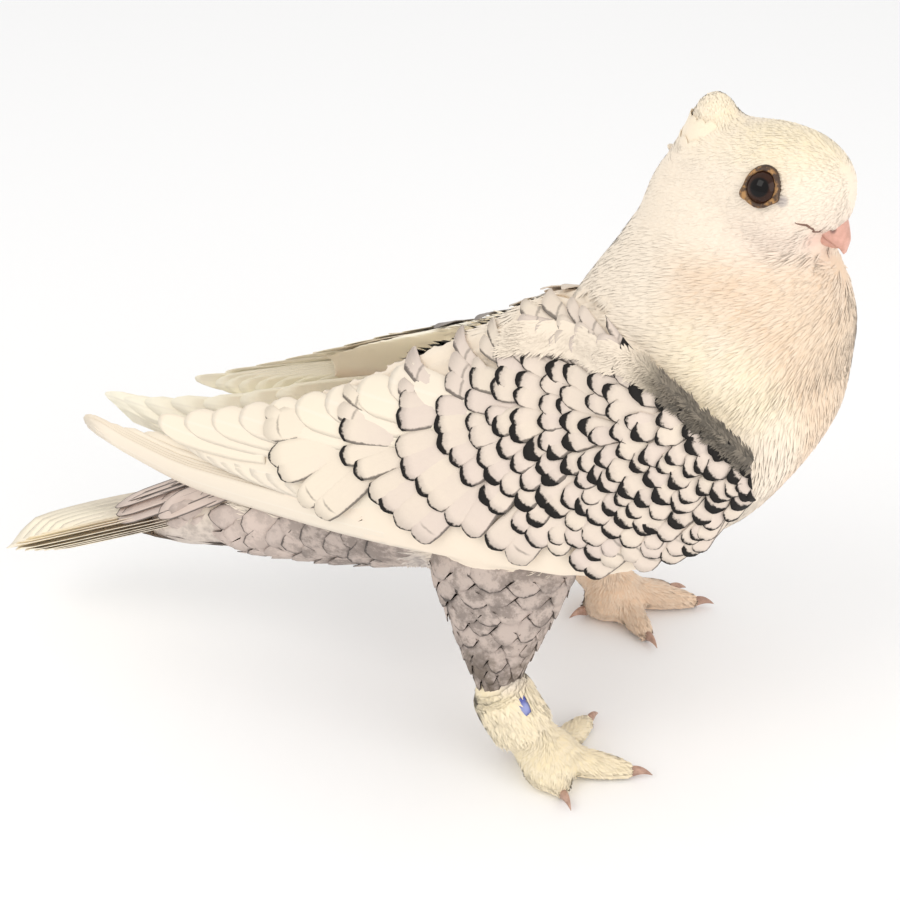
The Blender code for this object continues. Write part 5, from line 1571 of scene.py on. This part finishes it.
fringe_finish = finish_of("fringe", fringe_paint, 0.7, sheen_weight=0.2)
random = chance(50)
FRINGE_TUFTS, FRINGE_LIFT, FRINGE_END = 900, 0.6, {RIGHT: 60, LEFT: 36}
FRILL_TUFTS, FRILL_DEPTH, FRILL_SPAN = 700, 0.7, (93, 124, 142)
for side in SIDES:
    s = random.uniform(0.5, FRINGE_END[side], FRINGE_TUFTS)
    below = 0.2 + 3.4 * ease(s, 26, 38) + random.random(FRINGE_TUFTS) ** 1.3 * (2.5 + 1.2 * ease(s, 18, 34))
    wild = 1 - ease(s, 24, 34)
    t = through(WING_TOP, s) - below
    here = on_wing(s, t, FRINGE_LIFT, side)
    normal = unit(on_wing(s, t, FRINGE_LIFT + 0.5, side) - here)
    inward = random.uniform(0.2, 0.6, FRINGE_TUFTS)
    ahead_t = t - inward + wild * random.uniform(-0.3, 1.9, FRINGE_TUFTS)
    lock = along_skin(on_wing(s + 1, ahead_t, FRINGE_LIFT, side) - here, normal)
    tuft_mesh(f"fringe_{ENDINGS[side]}", here, normal, lock, 4.2 - 1.2 * wild, 1.5, 5, 0.14, fringe_finish,
              52, round_map(here), follow=False)
    height = random.triangular(*FRILL_SPAN, FRILL_TUFTS)
    here, normal, round_way = neck_frame(height, side * (0.04 + 0.66 * random.random(FRILL_TUFTS) ** 1.4))
    normal = normal * np.sign((normal * (here - (25, 0, 0)) * (1, 1, 0)).sum(1, keepdims=True))
    lock = unit(round_way * side - UP * random.uniform(0.8, 1.7, FRILL_TUFTS)[:, None])
    here = here - normal * FRILL_DEPTH
    tuft_mesh(f"frill_{ENDINGS[side]}", here, normal, along_skin(lock, normal), 4.2, 1.6, 6, 0.14,
              coat_finish, 51, neck_map(here))

# %% [markdown]
# ## Floor, light and camera
#
# A plain pale floor and large soft lights, as in a studio. The camera stands where the photograph was
# taken from, worked out from the bird's own outline.

# %% Stage
def floor_paint(place, x, y, z):
    """Nearly white, with a very faint grain."""
    return (place.noise(0.02, 2) * 0.1).tint((0.975, 0.98, 0.995), (0.96, 0.965, 0.98)), None


floor_corners = np.array(((-1500, -1500, 0), (1500, -1500, 0), (1500, 1500, 0), (-1500, 1500, 0)))
floor = build("floor", floor_corners, [np.arange(4)[None]], finish_of("floor", floor_paint, 0.8))
world = bpy.data.worlds.new("studio")
world.use_nodes = True
background = world.node_tree.nodes["Background"].inputs
background["Color"].default_value = (1, 0.995, 0.98, 1)
background["Strength"].default_value = 0.86
bpy.context.scene.world = world
bpy.context.scene.view_settings.view_transform = "Standard"


def soft_light(name, place, target, power_watts, size, colour):
    """A square lamp that looks from its place at a target."""
    lamp = bpy.data.lights.new(name, "AREA")
    lamp.energy, lamp.size, lamp.color = power_watts, size, colour
    made = bpy.data.objects.new(name, lamp)
    made.location = place
    made.rotation_euler = (Vector(target) - Vector(place)).to_track_quat("-Z", "Y").to_euler()
    bpy.context.scene.collection.objects.link(made)


soft_light("key", (-0.45, -0.75, 0.95), (0, 0, 0.09), 3.6, 0.7, (1, 0.97, 0.92))
soft_light("fill", (0.8, -0.5, 0.5), (0.05, 0, 0.10), 3.2, 0.8, (1, 0.95, 0.91))
CAMERA_PLACE = np.array((0.1268, -0.42194, 0.3234))
azimuth, elevation = math.radians(15), math.radians(30)
level = math.cos(elevation)
back = Vector((math.sin(azimuth) * level, -math.cos(azimuth) * level, math.sin(elevation)))
camera = bpy.data.cameras.new("camera")
camera.lens, camera.sensor_width = 74.88, 36
viewer = bpy.data.objects.new("camera", camera)
viewer.location = CAMERA_PLACE
viewer.rotation_mode = "QUATERNION"
viewer.rotation_quaternion = (-back).to_track_quat("-Z", "Y")
bpy.context.scene.collection.objects.link(viewer)
bpy.context.scene.camera = viewer
